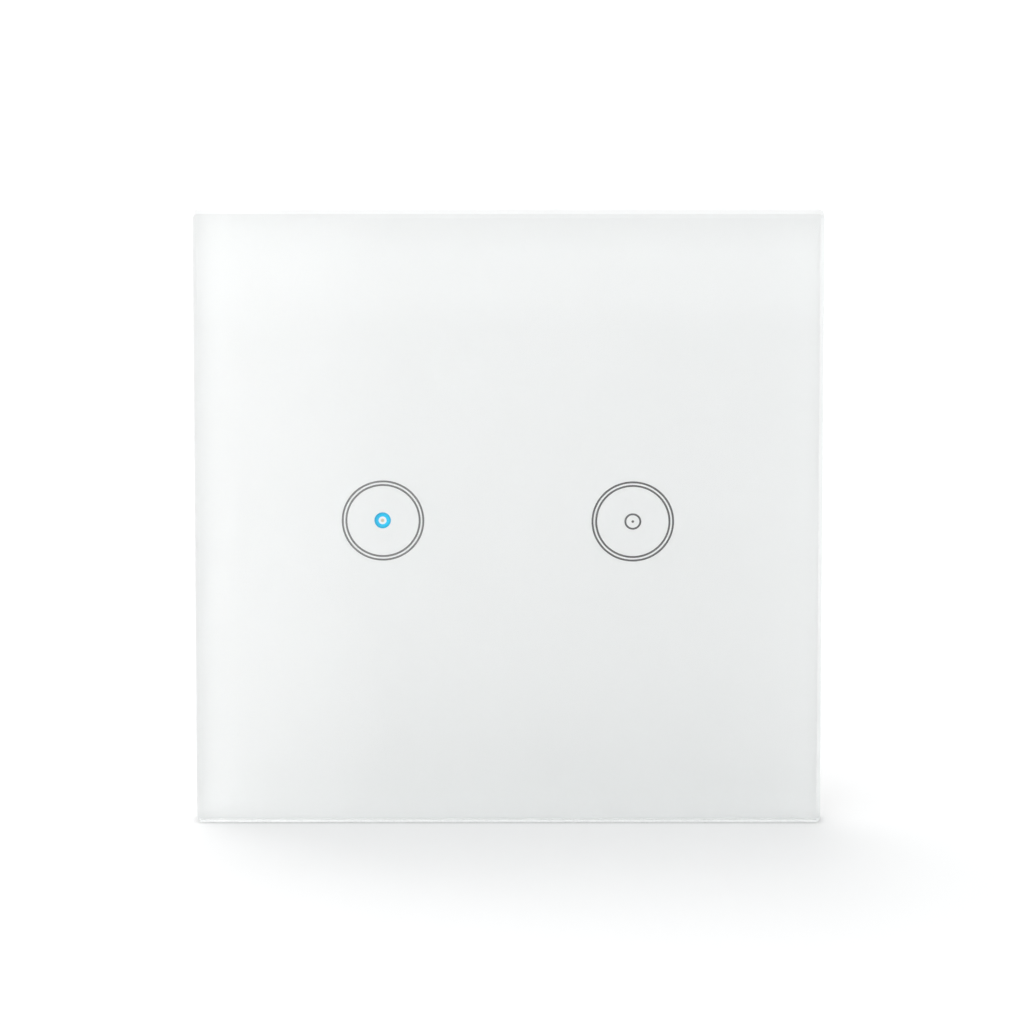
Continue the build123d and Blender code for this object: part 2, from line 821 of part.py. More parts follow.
for number, x in enumerate(pole_places, start=1):
    with BuildPart() as clamp_cage:
        block(
            (x - cage_width / 2, x + cage_width / 2),
            (cage_middle - cage_length / 2, cage_middle + cage_length / 2),
            (cage_bottom, cage_top),
        )
        fillet(clamp_cage.edges().filter_by(Axis.Y), radius=cage_edge_r)
        block(
            (x - window_x, x + window_x),
            (cage_middle - cage_length / 2, cage_middle + cage_length / 2),
            (cage_bottom + cage_wall, cage_top - cage_wall),
            mode=Mode.SUBTRACT,
        )
        with BuildSketch(across(cage_bottom)):
            with Locations((x, cage_middle)):
                Circle(terminal_screw_r + terminal_thread_gap)
        extrude(amount=cage_wall, mode=Mode.SUBTRACT)
    save(clamp_cage, f"clamp_cage_{number}")

    with BuildPart() as terminal_screw:
        with BuildSketch(across(head_bottom)):
            with Locations((x, cage_middle)):
                Circle(terminal_head_r)
        extrude(amount=terminal_head_t)
        chamfer(terminal_screw.edges().sort_by(Axis.Z)[0], length=block_edge)
        with BuildSketch(across(head_top)):
            with Locations((x, cage_middle)):
                Circle(terminal_screw_r)
        extrude(amount=bar_bottom - bar_tip_gap - head_top)
        block(
            (x - terminal_head_r, x + terminal_head_r),
            (cage_middle - terminal_slot_width / 2, cage_middle + terminal_slot_width / 2),
            (head_bottom, head_bottom + terminal_slot_depth),
            mode=Mode.SUBTRACT,
        )
    save(terminal_screw, f"terminal_screw_{number}")

# Relays, each with a clapper armature that carries the moving contact

relay_z = (relay_start, relay_end)
base_inset = relay_wall + cover_gap

for side, x in relay_sides.items():
    half = relay_width / 2
    yoke_half = yoke_width / 2
    pin_half = relay_pin_width / 2
    pin_hole = pin_half + relay_pin_gap
    yoke_pin_z = (relay_pin_z[0] - relay_pin_t / 2, relay_pin_z[0] + relay_pin_t / 2)
    post_z = (contact_post_front, contact_post_front + contact_post_t)

    with BuildPart() as relay_base:
        block(
            (x - half + base_inset, x + half - base_inset),
            (power_board_back, relay_floor),
            (relay_z[0] + base_inset, relay_z[1] - base_inset),
        )
        for z in relay_pin_z:
            hole_z = (z - relay_pin_t / 2 - relay_pin_gap, z + relay_pin_t / 2 + relay_pin_gap)
            block((x - pin_hole, x + pin_hole), (power_board_back, relay_floor), hole_z, mode=Mode.SUBTRACT)
    save(relay_base, f"relay_{side}_base")

    with BuildPart() as relay_cover:
        block((x - half, x + half), (power_board_back, relay_top), relay_z)
        fillet(relay_cover.faces().sort_by(Axis.Y)[-1].edges(), radius=relay_edge_r)
        block(
            (x - half + relay_wall, x + half - relay_wall),
            (power_board_back, relay_top - relay_wall),
            (relay_z[0] + relay_wall, relay_z[1] - relay_wall),
            mode=Mode.SUBTRACT,
        )
    save(relay_cover, f"relay_{side}_cover")

    with BuildPart() as relay_yoke:
        block((x - yoke_half, x + yoke_half), (relay_floor, yoke_top), (yoke_start, coil_start))
        block((x - yoke_half, x + yoke_half), (yoke_top - yoke_t, yoke_top), (yoke_start, yoke_end))
        block(
            (x - pin_half, x + pin_half),
            (power_board_front - relay_pin_tail, relay_floor),
            yoke_pin_z,
        )
        with BuildSketch(across(yoke_start)):
            with Locations((x, coil_axis)):
                Circle(core_r)
        extrude(amount=yoke_t, mode=Mode.SUBTRACT)
    save(relay_yoke, f"relay_{side}_yoke")

    with BuildPart() as relay_core:
        with BuildSketch(across(yoke_start)):
            with Locations((x, coil_axis)):
                Circle(core_r)
        extrude(amount=pole_face - yoke_start)
        with BuildSketch(across(pole_back)):
            with Locations((x, coil_axis)):
                Circle(pole_r)
        extrude(amount=pole_t)
    save(relay_core, f"relay_{side}_core")

    with BuildPart() as relay_bobbin:
        with BuildSketch(across(coil_start)):
            with Locations((x, coil_axis)):
                Circle(bobbin_flange_r)
        extrude(amount=bobbin_flange_t)
        with BuildSketch(across(coil_start)):
            with Locations((x, coil_axis)):
                Circle(core_r + core_gap + bobbin_tube_t)
        extrude(amount=bobbin_end - coil_start)
        with BuildSketch(across(bobbin_end - bobbin_flange_t)):
            with Locations((x, coil_axis)):
                Circle(bobbin_flange_r)
        extrude(amount=bobbin_flange_t)
        with BuildSketch(across(coil_start)):
            with Locations((x, coil_axis)):
                Circle(core_r + core_gap)
        extrude(amount=bobbin_end - coil_start, mode=Mode.SUBTRACT)
    save(relay_bobbin, f"relay_{side}_bobbin")

    with BuildPart() as relay_winding:
        with BuildSketch(across(coil_start + bobbin_flange_t + winding_gap)):
            with Locations((x, coil_axis)):
                Circle(winding_r)
                Circle(core_r + core_gap + bobbin_tube_t + winding_gap, mode=Mode.SUBTRACT)
        extrude(amount=bobbin_end - coil_start - 2 * (bobbin_flange_t + winding_gap))
    save(relay_winding, f"relay_{side}_winding")

    with BuildPart() as relay_armature:
        block(
            (x - yoke_half, x + yoke_half),
            (armature_bottom, armature_top),
            (armature_face, armature_face + armature_t),
        )
        fillet(relay_armature.edges().filter_by(Axis.Z), radius=relay_edge_r)
    save(relay_armature, f"relay_{side}_armature")

    with BuildPart() as contact_spring:
        leaf_z = (armature_face + armature_t, armature_face + armature_t + leaf_t)
        block(
            (x - leaf_width / 2, x + leaf_width / 2),
            (leaf_bottom, armature_bottom + leaf_overlap),
            leaf_z,
        )
        with BuildSketch(across(leaf_z[0])):
            with Locations((x, contact_axis)):
                Circle(contact_r)
        extrude(amount=-contact_t)
    save(contact_spring, f"relay_{side}_contact_spring")

    with BuildPart() as fixed_contact:
        block(
            (x - leaf_width / 2, x + leaf_width / 2),
            (relay_floor, relay_floor + contact_post_rise),
            post_z,
        )
        block(
            (x - pin_half, x + pin_half),
            (power_board_front - relay_pin_tail, relay_floor),
            post_z,
        )
        with BuildSketch(across(post_z[1])):
            with Locations((x, contact_axis)):
                Circle(contact_r)
        extrude(amount=contact_t)
    save(fixed_contact, f"relay_{side}_fixed_contact")

# Transformer: double E core, bobbin and winding

core_y = (power_board_back + transformer_rise, power_board_back + transformer_rise + transformer_core_t)
core_half_x = transformer_width / 2
core_half_z = transformer_length / 2
window_z = (
    transformer_middle_z - core_half_z + transformer_end,
    transformer_middle_z + core_half_z - transformer_end,
)
window_in = transformer_middle_leg / 2
window_out = core_half_x - transformer_leg
tube_in_x = window_in + transformer_gap
tube_out_x = tube_in_x + transformer_tube_t
tube_in_y = (core_y[0] - transformer_gap, core_y[1] + transformer_gap)
tube_out_y = (tube_in_y[0] - transformer_tube_t, tube_in_y[1] + transformer_tube_t)
bobbin_z = (window_z[0] + transformer_gap, window_z[1] - transformer_gap)
flange_half_x = window_out - transformer_gap
transformer_top = power_board_back + transformer_height

with BuildPart() as transformer_core:
    block(
        (-core_half_x, core_half_x),
        core_y,
        (transformer_middle_z - core_half_z, transformer_middle_z + core_half_z),
    )
    for window in ((-window_out, -window_in), (window_in, window_out)):
        block(window, core_y, window_z, mode=Mode.SUBTRACT)
save(transformer_core, "transformer_core")

with BuildPart() as transformer_bobbin:
    block((-tube_out_x, tube_out_x), tube_out_y, bobbin_z)
    block(
        (-flange_half_x, flange_half_x),
        (power_board_back, transformer_top),
        (bobbin_z[0], bobbin_z[0] + transformer_flange_t),
    )
    block(
        (-flange_half_x, flange_half_x),
        (power_board_back, transformer_top),
        (bobbin_z[1] - transformer_flange_t, bobbin_z[1]),
    )
    block((-tube_in_x, tube_in_x), tube_in_y, bobbin_z, mode=Mode.SUBTRACT)
save(transformer_bobbin, "transformer_bobbin")

with BuildPart() as transformer_winding:
    wound_z = (
        bobbin_z[0] + transformer_flange_t + winding_gap,
        bobbin_z[1] - transformer_flange_t - winding_gap,
    )
    wound_x = flange_half_x - winding_side_gap
    block(
        (-wound_x, wound_x),
        (power_board_back + winding_foot_gap, transformer_top - winding_foot_gap),
        wound_z,
    )
    fillet(transformer_winding.edges().filter_by(Axis.Z), radius=winding_foot_gap)
    block(
        (-tube_out_x - winding_gap, tube_out_x + winding_gap),
        (tube_out_y[0] - winding_gap, tube_out_y[1] + winding_gap),
        wound_z,
        mode=Mode.SUBTRACT,
    )
save(transformer_winding, "transformer_winding")

# Other mains parts on the power board

with BuildPart() as bulk_capacitor:
    with BuildSketch(at_depth(power_board_back)):
        with Locations(bulk_capacitor_place):
            Circle(bulk_capacitor_r)
    extrude(amount=-bulk_capacitor_height)
    fillet(bulk_capacitor.faces().sort_by(Axis.Y)[-1].edges(), radius=bulk_capacitor_edge_r)
    with BuildSketch(at_depth(power_board_back + bulk_capacitor_groove_rise)):
        with Locations(bulk_capacitor_place):
            Circle(bulk_capacitor_r)
            Circle(bulk_capacitor_r - bulk_capacitor_groove_depth, mode=Mode.SUBTRACT)
    extrude(amount=-bulk_capacitor_groove_width, mode=Mode.SUBTRACT)
save(bulk_capacitor, "bulk_capacitor")

with BuildPart() as film_capacitor:
    with BuildSketch(at_depth(power_board_back)):
        with Locations(film_capacitor_place):
            Rectangle(film_capacitor_size[0], film_capacitor_size[1])
    extrude(amount=-film_capacitor_size[2])
    fillet(film_capacitor.faces().sort_by(Axis.Y)[-1].edges(), radius=film_capacitor_edge_r)
save(film_capacitor, "film_capacitor")

with BuildPart() as varistor:
    disc_axis = power_board_back + varistor_rise + varistor_r
    with BuildSketch(across(varistor_place[1] - varistor_t / 2)):
        with Locations((varistor_place[0], disc_axis)):
            Circle(varistor_r)
    extrude(amount=varistor_t)
    fillet(varistor.edges(), radius=varistor_edge_r)
    with BuildSketch(at_depth(disc_axis)):
        with Locations(*varistor_lead_places):
            Circle(varistor_lead_r)
    extrude(amount=disc_axis - power_board_front + lead_tail)
save(varistor, "varistor")

with BuildPart() as fuse:
    fuse_axis = power_board_back + fuse_r + fuse_cap_t
    fuse_left = Plane.YZ.offset(fuse_place[0] - fuse_length / 2)
    fuse_right = Plane.YZ.offset(fuse_place[0] + fuse_length / 2)
    with BuildSketch(fuse_left):
        with Locations((fuse_axis, fuse_place[1])):
            Circle(fuse_r)
    extrude(amount=fuse_length)
    with BuildSketch(fuse_left):
        with Locations((fuse_axis, fuse_place[1])):
            Circle(fuse_r + fuse_cap_t)
    extrude(amount=fuse_cap_length)
    with BuildSketch(fuse_right):
        with Locations((fuse_axis, fuse_place[1])):
            Circle(fuse_r + fuse_cap_t)
    extrude(amount=-fuse_cap_length)
    with BuildSketch(Plane.YZ.offset(fuse_place[0] - fuse_lead_x - fuse_lead_r)):
        with Locations((fuse_axis, fuse_place[1])):
            Circle(fuse_lead_r)
    extrude(amount=2 * (fuse_lead_x + fuse_lead_r))
    with BuildSketch(at_depth(fuse_axis)):
        with Locations(*fuse_lead_places):
            Circle(fuse_lead_r)
    extrude(amount=fuse_axis - power_board_front + lead_tail)
save(fuse, "fuse")

with BuildPart() as bridge_rectifier:
    with BuildSketch(at_depth(power_board_front)):
        with Locations(bridge_place):
            Rectangle(bridge_size[0], bridge_size[1])
    extrude(amount=bridge_size[2])
    with BuildSketch(at_depth(power_board_front)):
        with Locations(bridge_place):
            with GridLocations(bridge_size[0] - bridge_leg, 0, 2, 1):
                Rectangle(bridge_leg, bridge_size[1] + 2 * bridge_leg)
    extrude(amount=chip_lead_t)
save(bridge_rectifier, "bridge_rectifier")
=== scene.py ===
"""Looks for a two-gang glass touch switch: its finishes, small parts, floor, light and camera.

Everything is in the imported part's own frame: +Z up, +X to the right, the glass faces -Y, in metres.
"""

import json
import logging
import math
from dataclasses import dataclass
from enum import Enum
from typing import Any, Iterable, Sequence

import bmesh
import bpy
from mathutils import Matrix, Vector


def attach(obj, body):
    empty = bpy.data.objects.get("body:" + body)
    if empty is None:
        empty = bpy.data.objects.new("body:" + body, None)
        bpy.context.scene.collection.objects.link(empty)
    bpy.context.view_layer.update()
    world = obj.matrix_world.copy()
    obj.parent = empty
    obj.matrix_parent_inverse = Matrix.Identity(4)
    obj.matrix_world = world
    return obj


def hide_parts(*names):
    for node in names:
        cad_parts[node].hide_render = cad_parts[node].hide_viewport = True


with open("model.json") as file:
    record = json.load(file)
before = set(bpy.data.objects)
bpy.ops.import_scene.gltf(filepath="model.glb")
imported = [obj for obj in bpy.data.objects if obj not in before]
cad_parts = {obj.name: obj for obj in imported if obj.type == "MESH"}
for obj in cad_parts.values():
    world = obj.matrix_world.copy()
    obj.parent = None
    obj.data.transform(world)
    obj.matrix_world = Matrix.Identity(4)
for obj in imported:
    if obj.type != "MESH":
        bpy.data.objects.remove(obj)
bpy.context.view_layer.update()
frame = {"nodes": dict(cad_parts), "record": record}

MM = 0.001
log = logging.getLogger("touch_switch")

Socket = bpy.types.NodeSocket
Material = bpy.types.Material
Object = bpy.types.Object
Colour = tuple[float, float, float]
Place = tuple[float, float, float]
TO_ROOM: Place = (math.pi / 2, 0.0, 0.0)  # turns +Z to -Y
BLACK: Colour = (0.0, 0.0, 0.0)
WHITE: Colour = (1.0, 1.0, 1.0)


class Axis(Enum):
    """A direction of the part's frame, by its place in a vector."""

    X = 0
    Y = 1
    Z = 2


class Side(Enum):
    """The two touch keys and relays, with the sign of their X."""

    LEFT = -1
    RIGHT = 1


def linear(red: int, green: int, blue: int) -> Colour:
    """Turn a colour as a screen shows it, 0 to 255, into scene-linear numbers."""
    levels = [level / 255 for level in (red, green, blue)]
    return tuple(v / 12.92 if v <= 0.04045 else ((v + 0.055) / 1.055) ** 2.4 for v in levels)


def add(name: str, data: bpy.types.ID) -> Object:
    """Make an object of some data in the scene."""
    made = bpy.data.objects.new(name, data)
    bpy.context.scene.collection.objects.link(made)
    return made


def hang(name: str, data: bpy.types.ID, place: Vector, look: Vector) -> Object:
    """Add a lamp or a camera.

    Args:
        name: Its name.
        data: Its data.
        place: Where it stands, in metres.
        look: The direction it looks in.

    Returns:
        The object.
    """
    made = add(name, data)
    made.location = place
    made.rotation_mode = "QUATERNION"
    made.rotation_quaternion = look.to_track_quat("-Z", "Y")
    return made


# Node trees


class Tree:
    """Writes the nodes and links of one shader or geometry tree."""

    def __init__(self, nodes: bpy.types.NodeTree) -> None:
        """Empty a tree and start writing in it."""
        self.nodes = nodes
        self.nodes.nodes.clear()

    def node(
        self, kind: str, settings: dict[str, Any] | None = None, inputs: dict[Any, Any] | None = None
    ) -> bpy.types.Node:
        """Add a node.

        Args:
            kind: The node's type.
            settings: Its settings, set first.
            inputs: Values or links of its sockets, by name or number.

        Returns:
            The new node.
        """
        made = self.nodes.nodes.new(kind)
        for name, value in (settings or {}).items():
            setattr(made, name, value)
        for name, value in (inputs or {}).items():
            self.feed(made.inputs[name], value)
        return made

    def feed(self, socket: Socket, value: Any) -> None:
        """Set a socket, or link it where the value is a wire or another socket.

        Args:
            socket: The input socket.
            value: A number, colour, vector, material, wire or output socket.
        """
        if isinstance(value, Wire):
            self.nodes.links.new(value.socket, socket)
        elif isinstance(value, Socket):
            self.nodes.links.new(value, socket)
        elif socket.type == "RGBA" and len(value) == 3:
            socket.default_value = (*value, 1.0)
        else:
            socket.default_value = value


class Wire:
    """One number in a tree, on which Python's operators add Math nodes."""

    def __init__(self, tree: Tree, socket: Socket) -> None:
        """Wrap an output socket of a tree."""
        self.tree = tree
        self.socket = socket

    def maths(self, operation: str, *operands: Any) -> "Wire":
        """Add a Math node on some operands and give its result."""
        made = self.tree.node("ShaderNodeMath", {"operation": operation}, dict(enumerate(operands)))
        return Wire(self.tree, made.outputs[0])

    def __add__(self, other: Any) -> "Wire":
        """Add."""
        return self.maths("ADD", self, other)

    __radd__ = __add__

    def __sub__(self, other: Any) -> "Wire":
        """Subtract."""
        return self.maths("SUBTRACT", self, other)

    def __rsub__(self, other: Any) -> "Wire":
        """Subtract from a number."""
        return self.maths("SUBTRACT", other, self)

    def __mul__(self, other: Any) -> "Wire":
        """Multiply."""
        return self.maths("MULTIPLY", self, other)

    __rmul__ = __mul__

    def __truediv__(self, other: Any) -> "Wire":
        """Divide."""
        return self.maths("DIVIDE", self, other)

    def __abs__(self) -> "Wire":
        """Take the size without its sign."""
        return self.maths("ABSOLUTE", self)

    def above(self, limit: Any) -> "Wire":
        """Give 1 where this is above a limit, or else 0."""
        return self.maths("GREATER_THAN", self, limit)

    def below(self, limit: Any) -> "Wire":
        """Give 1 where this is below a limit, or else 0."""
        return self.maths("LESS_THAN", self, limit)

    def larger(self, other: Any) -> "Wire":
        """Take the larger of two."""
        return self.maths("MAXIMUM", self, other)

    def spread(self, low: float, high: float, to_low: float = 0.0, to_high: float = 1.0) -> "Wire":
        """Map a range onto another, with a smooth start and end.

        Args:
            low: The start of the range.
            high: The end of the range.
            to_low: What the start becomes.
            to_high: What the end becomes.

        Returns:
            The mapped number.
        """
        made = self.tree.node(
            "ShaderNodeMapRange",
            {"interpolation_type": "SMOOTHSTEP"},
            {"Value": self, "From Min": low, "From Max": high, "To Min": to_low, "To Max": to_high},
        )
        return Wire(self.tree, made.outputs["Result"])


class Shader(Tree):
    """One material, whose nodes end in a Principled shader."""

    def __init__(self, name: str) -> None:
        """Start a material.

        Args:
            name: The material's name.
        """
        self.material = bpy.data.materials.new(name)
        self.material.use_nodes = True
        super().__init__(self.material.node_tree)
        self.output = self.node("ShaderNodeOutputMaterial")
        place = self.node("ShaderNodeTexCoord")
        self.normal = place.outputs["Normal"]
        inputs = {"Vector": place.outputs["Object"], "Scale": 1 / MM}
        self.millimetres = self.node("ShaderNodeVectorMath", {"operation": "SCALE"}, inputs).outputs["Vector"]
        self._parts: dict[str, bpy.types.Node] = {}

    def along(self, axis: Axis) -> Wire:
        """Give the place along an axis, in millimetres."""
        return self._part("place", self.millimetres, axis)

    def facing(self, axis: Axis) -> Wire:
        """Give how far the surface faces along an axis, from -1 to 1."""
        return self._part("normal", self.normal, axis)

    def _part(self, key: str, vector: Socket, axis: Axis) -> Wire:
        """Give one number of a vector, from a Separate node that is made once.

        Args:
            key: The node's key.
            vector: The vector.
            axis: Which number to take.

        Returns:
            The number.
        """
        if key not in self._parts:
            self._parts[key] = self.node("ShaderNodeSeparateXYZ", inputs={"Vector": vector})
        return Wire(self, self._parts[key].outputs[axis.value])

    def stretched(self, scale: Place) -> Socket:
        """Give the millimetre coordinates with each axis multiplied by a number."""
        made = self.node("ShaderNodeMapping", inputs={"Vector": self.millimetres, "Scale": scale})
        return made.outputs["Vector"]

    def noise(
        self, size: float, detail: float = 2.0, roughness: float = 0.5, vector: Socket | None = None
    ) -> Wire:
        """Add a noise pattern.

        Args:
            size: The size of its grains, in millimetres.
            detail: How many finer layers it has.
            roughness: How strong the finer layers are.
            vector: The coordinates, if they aren't the plain millimetres.

        Returns:
            The noise, about 0 to 1.
        """
        inputs = {"Vector": vector or self.millimetres, "Scale": 1 / size}
        inputs |= {"Detail": detail, "Roughness": roughness}
        return Wire(self, self.node("ShaderNodeTexNoise", inputs=inputs).outputs[0])

    def mixed(self, share: Any, first: Any, second: Any) -> Socket:
        """Mix two colours.

        Args:
            share: How much of the second, 0 to 1.
            first: The first colour.
            second: The second colour.

        Returns:
            The mixed colour.
        """
        made = self.node("ShaderNodeMix", {"data_type": "RGBA"})
        self.feed(made.inputs[0], share)
        self.feed(made.inputs[6], first)
        self.feed(made.inputs[7], second)
        return made.outputs[2]

    def bump(self, height: Any, depth: float) -> Socket:
        """Give the normal of a surface raised by a height of 0 to 1, which is depth millimetres."""
        made = self.node("ShaderNodeBump", inputs={"Height": height, "Distance": depth * MM})
        return made.outputs["Normal"]

    def principled(self, **inputs: Any) -> Socket:
        """Add a Principled shader, with _ for each space in its sockets' names."""
        named = {name.replace("_", " "): value for name, value in inputs.items()}
        return self.node("ShaderNodeBsdfPrincipled", inputs=named).outputs[0]

    def finish(self, surface: Socket) -> Material:
        """Send a shader to the output and give the finished material."""
        self.feed(self.output.inputs["Surface"], surface)
        return self.material


# Finishes


@dataclass(frozen=True)
class Finish:
    """What every finish has: a name, a colour and a roughness.

    Where a finish has them, grain and cloud are the sizes of its fine and coarse unevenness in
    millimetres, and gloss is how much its roughness varies.
    """

    name: str
    colour: Colour
    roughness: float

    def build(self) -> Material:
        """Make the finish's material."""
        shader = Shader(self.name)
        return shader.finish(self.surface(shader))

    def surface(self, shader: Shader) -> Socket:
        """Write the finish's surface in a material and give its shader socket."""
        raise NotImplementedError


@dataclass(frozen=True)
class MouldedPlastic(Finish):
    """Moulded plastic with a spark-eroded skin."""

    grain: float = 0.22
    grain_depth: float = 0.006
    mottle: float = 0.02
    cloud: float = 9.0
    gloss: float = 0.1

    def surface(self, shader: Shader) -> Socket:
        """Write the finish's surface."""
        grain = shader.noise(self.grain, 3.0, 0.55)
        cloud = shader.noise(self.cloud, 2.0)
        darker = tuple(c * (1 - 2 * self.mottle) for c in self.colour)
        return shader.principled(
            Base_Color=shader.mixed(cloud, darker, self.colour),
            Roughness=(self.roughness - self.gloss / 2) + self.gloss * grain,
            Normal=shader.bump(grain, self.grain_depth),
        )


@dataclass(frozen=True)
class PlatedMetal(Finish):
    """Metal with drawn or rolled scratches along one axis."""

    lay: Axis = Axis.Z
    scratch: float = 0.12
    scratch_depth: float = 0.0015
    stain: float = 0.12
    stretch: float = 0.06
    cloud: float = 2.5
    gloss: float = 0.12

    def surface(self, shader: Shader) -> Socket:
        """Write the finish's surface."""
        stretch = tuple(self.stretch if axis is self.lay else 1.0 for axis in Axis)
        lines = shader.noise(self.scratch, 3.0, 0.6, shader.stretched(stretch))
        cloud = shader.noise(self.cloud, 3.0)
        stained = tuple(c * (1 - self.stain) for c in self.colour)
        return shader.principled(
            Base_Color=shader.mixed(cloud, stained, self.colour),
            Metallic=1.0,
            Roughness=(self.roughness - self.gloss / 2) + self.gloss * lines,
            Normal=shader.bump(lines, self.scratch_depth),
        )


@dataclass(frozen=True)
class ClearGlass(Finish):
    """Clear glass or acrylic, which shadow rays pass straight through."""

    ior: float = 1.5
    ripple: float = 14.0
    ripple_depth: float = 0.0004

    def surface(self, shader: Shader) -> Socket:
        """Write the finish's surface."""
        ripple = shader.noise(self.ripple, 1.0)
        solid = shader.principled(
            Base_Color=self.colour,
            Roughness=self.roughness,
            IOR=self.ior,
            Transmission_Weight=1.0,
            Normal=shader.bump(ripple, self.ripple_depth),
        )
        clear = shader.node("ShaderNodeBsdfTransparent", inputs={"Color": self.colour})
        path = shader.node("ShaderNodeLightPath")
        mixed = shader.node(
            "ShaderNodeMixShader",
            inputs={0: path.outputs["Is Shadow Ray"], 1: solid, 2: clear.outputs[0]},
        )
        return mixed.outputs[0]


@dataclass(frozen=True)
class Print(Finish):
    """Screen-printed ink or film, with a faint unevenness."""

    unevenness: float = 0.015
    cloud: float = 0.5
    gloss: float = 0.06

    def surface(self, shader: Shader) -> Socket:
        """Write the finish's surface."""
        cloud = shader.noise(self.cloud, 3.0)
        darker = tuple(c * (1 - 2 * self.unevenness) for c in self.colour)
        return shader.principled(
            Base_Color=shader.mixed(cloud, darker, self.colour),
            Roughness=(self.roughness - self.gloss / 2) + self.gloss * cloud,
        )


@dataclass(frozen=True)
class LitWindow(Finish):
    """A window that a lamp behind it lights, paler towards one side and dimmer at its rim."""

    second: Colour = WHITE
    glow: float = 1.0
    middle: tuple[float, float] = (-17.2, 0.0)
    reach: float = 1.2
    rim: tuple[float, float] = (0.7, 1.05)
    dimming: float = 0.0
    cloud: float = 0.7
    unevenness: float = 0.3
    unlit: Colour = (0.01, 0.01, 0.01)

    def surface(self, shader: Shader) -> Socket:
        """Write the finish's surface."""
        across = shader.along(Axis.X) - self.middle[0]
        up = shader.along(Axis.Z) - self.middle[1]
        cloud = shader.noise(self.cloud, 2.0) * self.unevenness - self.unevenness / 2
        lamp = shader.mixed(across.spread(-self.reach, self.reach) + cloud, self.colour, self.second)
        square = across * across + up * up
        out = square.maths("SQRT", square)
        return shader.principled(
            Base_Color=self.unlit,
            Roughness=self.roughness,
            Specular_IOR_Level=0.0,
            Emission_Color=shader.mixed(out.spread(*self.rim, 0.0, self.dimming), lamp, BLACK),
            Emission_Strength=self.glow,
        )


@dataclass(frozen=True)
class CircuitBoard(Finish):
    """Glass-fibre board: solder mask over tracks on its faces, bare resin on its edges.

    Tracks lie pitch apart and change direction from field to field. Bare and vias are the shares of
    the fields without tracks and of the crossings with a via.
    """

    track: Colour = (0.05, 0.34, 0.14)
    resin: Colour = (0.5, 0.42, 0.2)
    pitch: float = 0.9
    line: tuple[float, float] = (0.17, 0.23)
    field: float = 7.2
    bare: float = 0.3
    vias: float = 0.2
    weave: float = 9.0
    resin_roughness: float = 0.62
    coat: float = 0.4
    coat_roughness: float = 0.12
    depth: float = 0.02
    track_height: float = 0.8
    weave_height: float = 0.1
    flat: float = 0.7

    def surface(self, shader: Shader) -> Socket:
        """Write the finish's surface."""
        draw = self._draw(shader, self.field)
        across, up = (self._lines(shader, axis) for axis in (Axis.X, Axis.Z))
        turned = draw.above((1 + self.bare) / 2)
        tracks = (across * turned + up * (1.0 - turned)) * draw.above(self.bare)
        via = (across * up) * self._draw(shader, self.pitch).above(1 - self.vias)
        tracks = tracks.larger(via)
        weave = self._wave(shader, Axis.X) * self._wave(shader, Axis.Z)
        face = abs(shader.facing(Axis.Y)).above(self.flat)
        mask = shader.mixed(tracks, self.colour, self.track)
        height = tracks * self.track_height + weave * self.weave_height
        return shader.principled(
            Base_Color=shader.mixed(face, self.resin, mask),
            Roughness=self.resin_roughness - face * (self.resin_roughness - self.roughness),
            Normal=shader.bump(height * face, self.depth),
            Coat_Weight=face * self.coat,
            Coat_Roughness=self.coat_roughness,
        )

    def _draw(self, shader: Shader, size: float) -> Wire:
        """Draw a number for each square field of the board, 0 to 1.

        Args:
            shader: The material.
            size: The fields' size, in millimetres.

        Returns:
            The number.
        """
        fields = shader.node(
            "ShaderNodeVectorMath",
            {"operation": "SNAP"},
            {0: shader.stretched((1.0, 0.0, 1.0)), 1: (size, 1.0, size)},
        )
        drawn = shader.node("ShaderNodeTexWhiteNoise", inputs={"Vector": fields.outputs[0]})
        return Wire(shader, drawn.outputs["Value"])

    def _lines(self, shader: Shader, axis: Axis) -> Wire:
        """Rule lines across an axis at the tracks' pitch, 1 on them and 0 between them."""
        place = shader.along(axis) / self.pitch
        return abs(place.maths("FRACT", place) - 0.5).spread(*self.line, 1.0, 0.0)

    def _wave(self, shader: Shader, axis: Axis) -> Wire:
        """Give the glass cloth's waves along an axis, -1 to 1."""
        place = shader.along(axis) * self.weave
        return place.maths("SINE", place)


@dataclass(frozen=True)
class LeadedPart(Finish):
    """A moulded or dipped body whose leads or caps are metal beyond some limits along an axis."""

    axis: Axis = Axis.Y
    low: float = -1000.0
    high: float = 1000.0
    metal: Colour = (0.72, 0.72, 0.7)
    grain: float = 0.25
    grain_depth: float = 0.004
    mottle: float = 0.1
    gloss: float = 0.08
    metal_roughness: float = 0.3

    def surface(self, shader: Shader) -> Socket:
        """Write the finish's surface."""
        place = shader.along(self.axis)
        leads = place.below(self.low).larger(place.above(self.high))
        grain = shader.noise(self.grain, 3.0)
        darker = tuple(c * (1 - self.mottle) for c in self.colour)
        body = shader.mixed(grain, darker, self.colour)
        return shader.principled(
            Base_Color=shader.mixed(leads, body, self.metal),
            Metallic=leads,
            Roughness=(self.roughness - self.gloss / 2)
            + self.gloss * grain
            - leads * (self.roughness - self.metal_roughness),
            Normal=shader.bump(grain, self.grain_depth),
        )


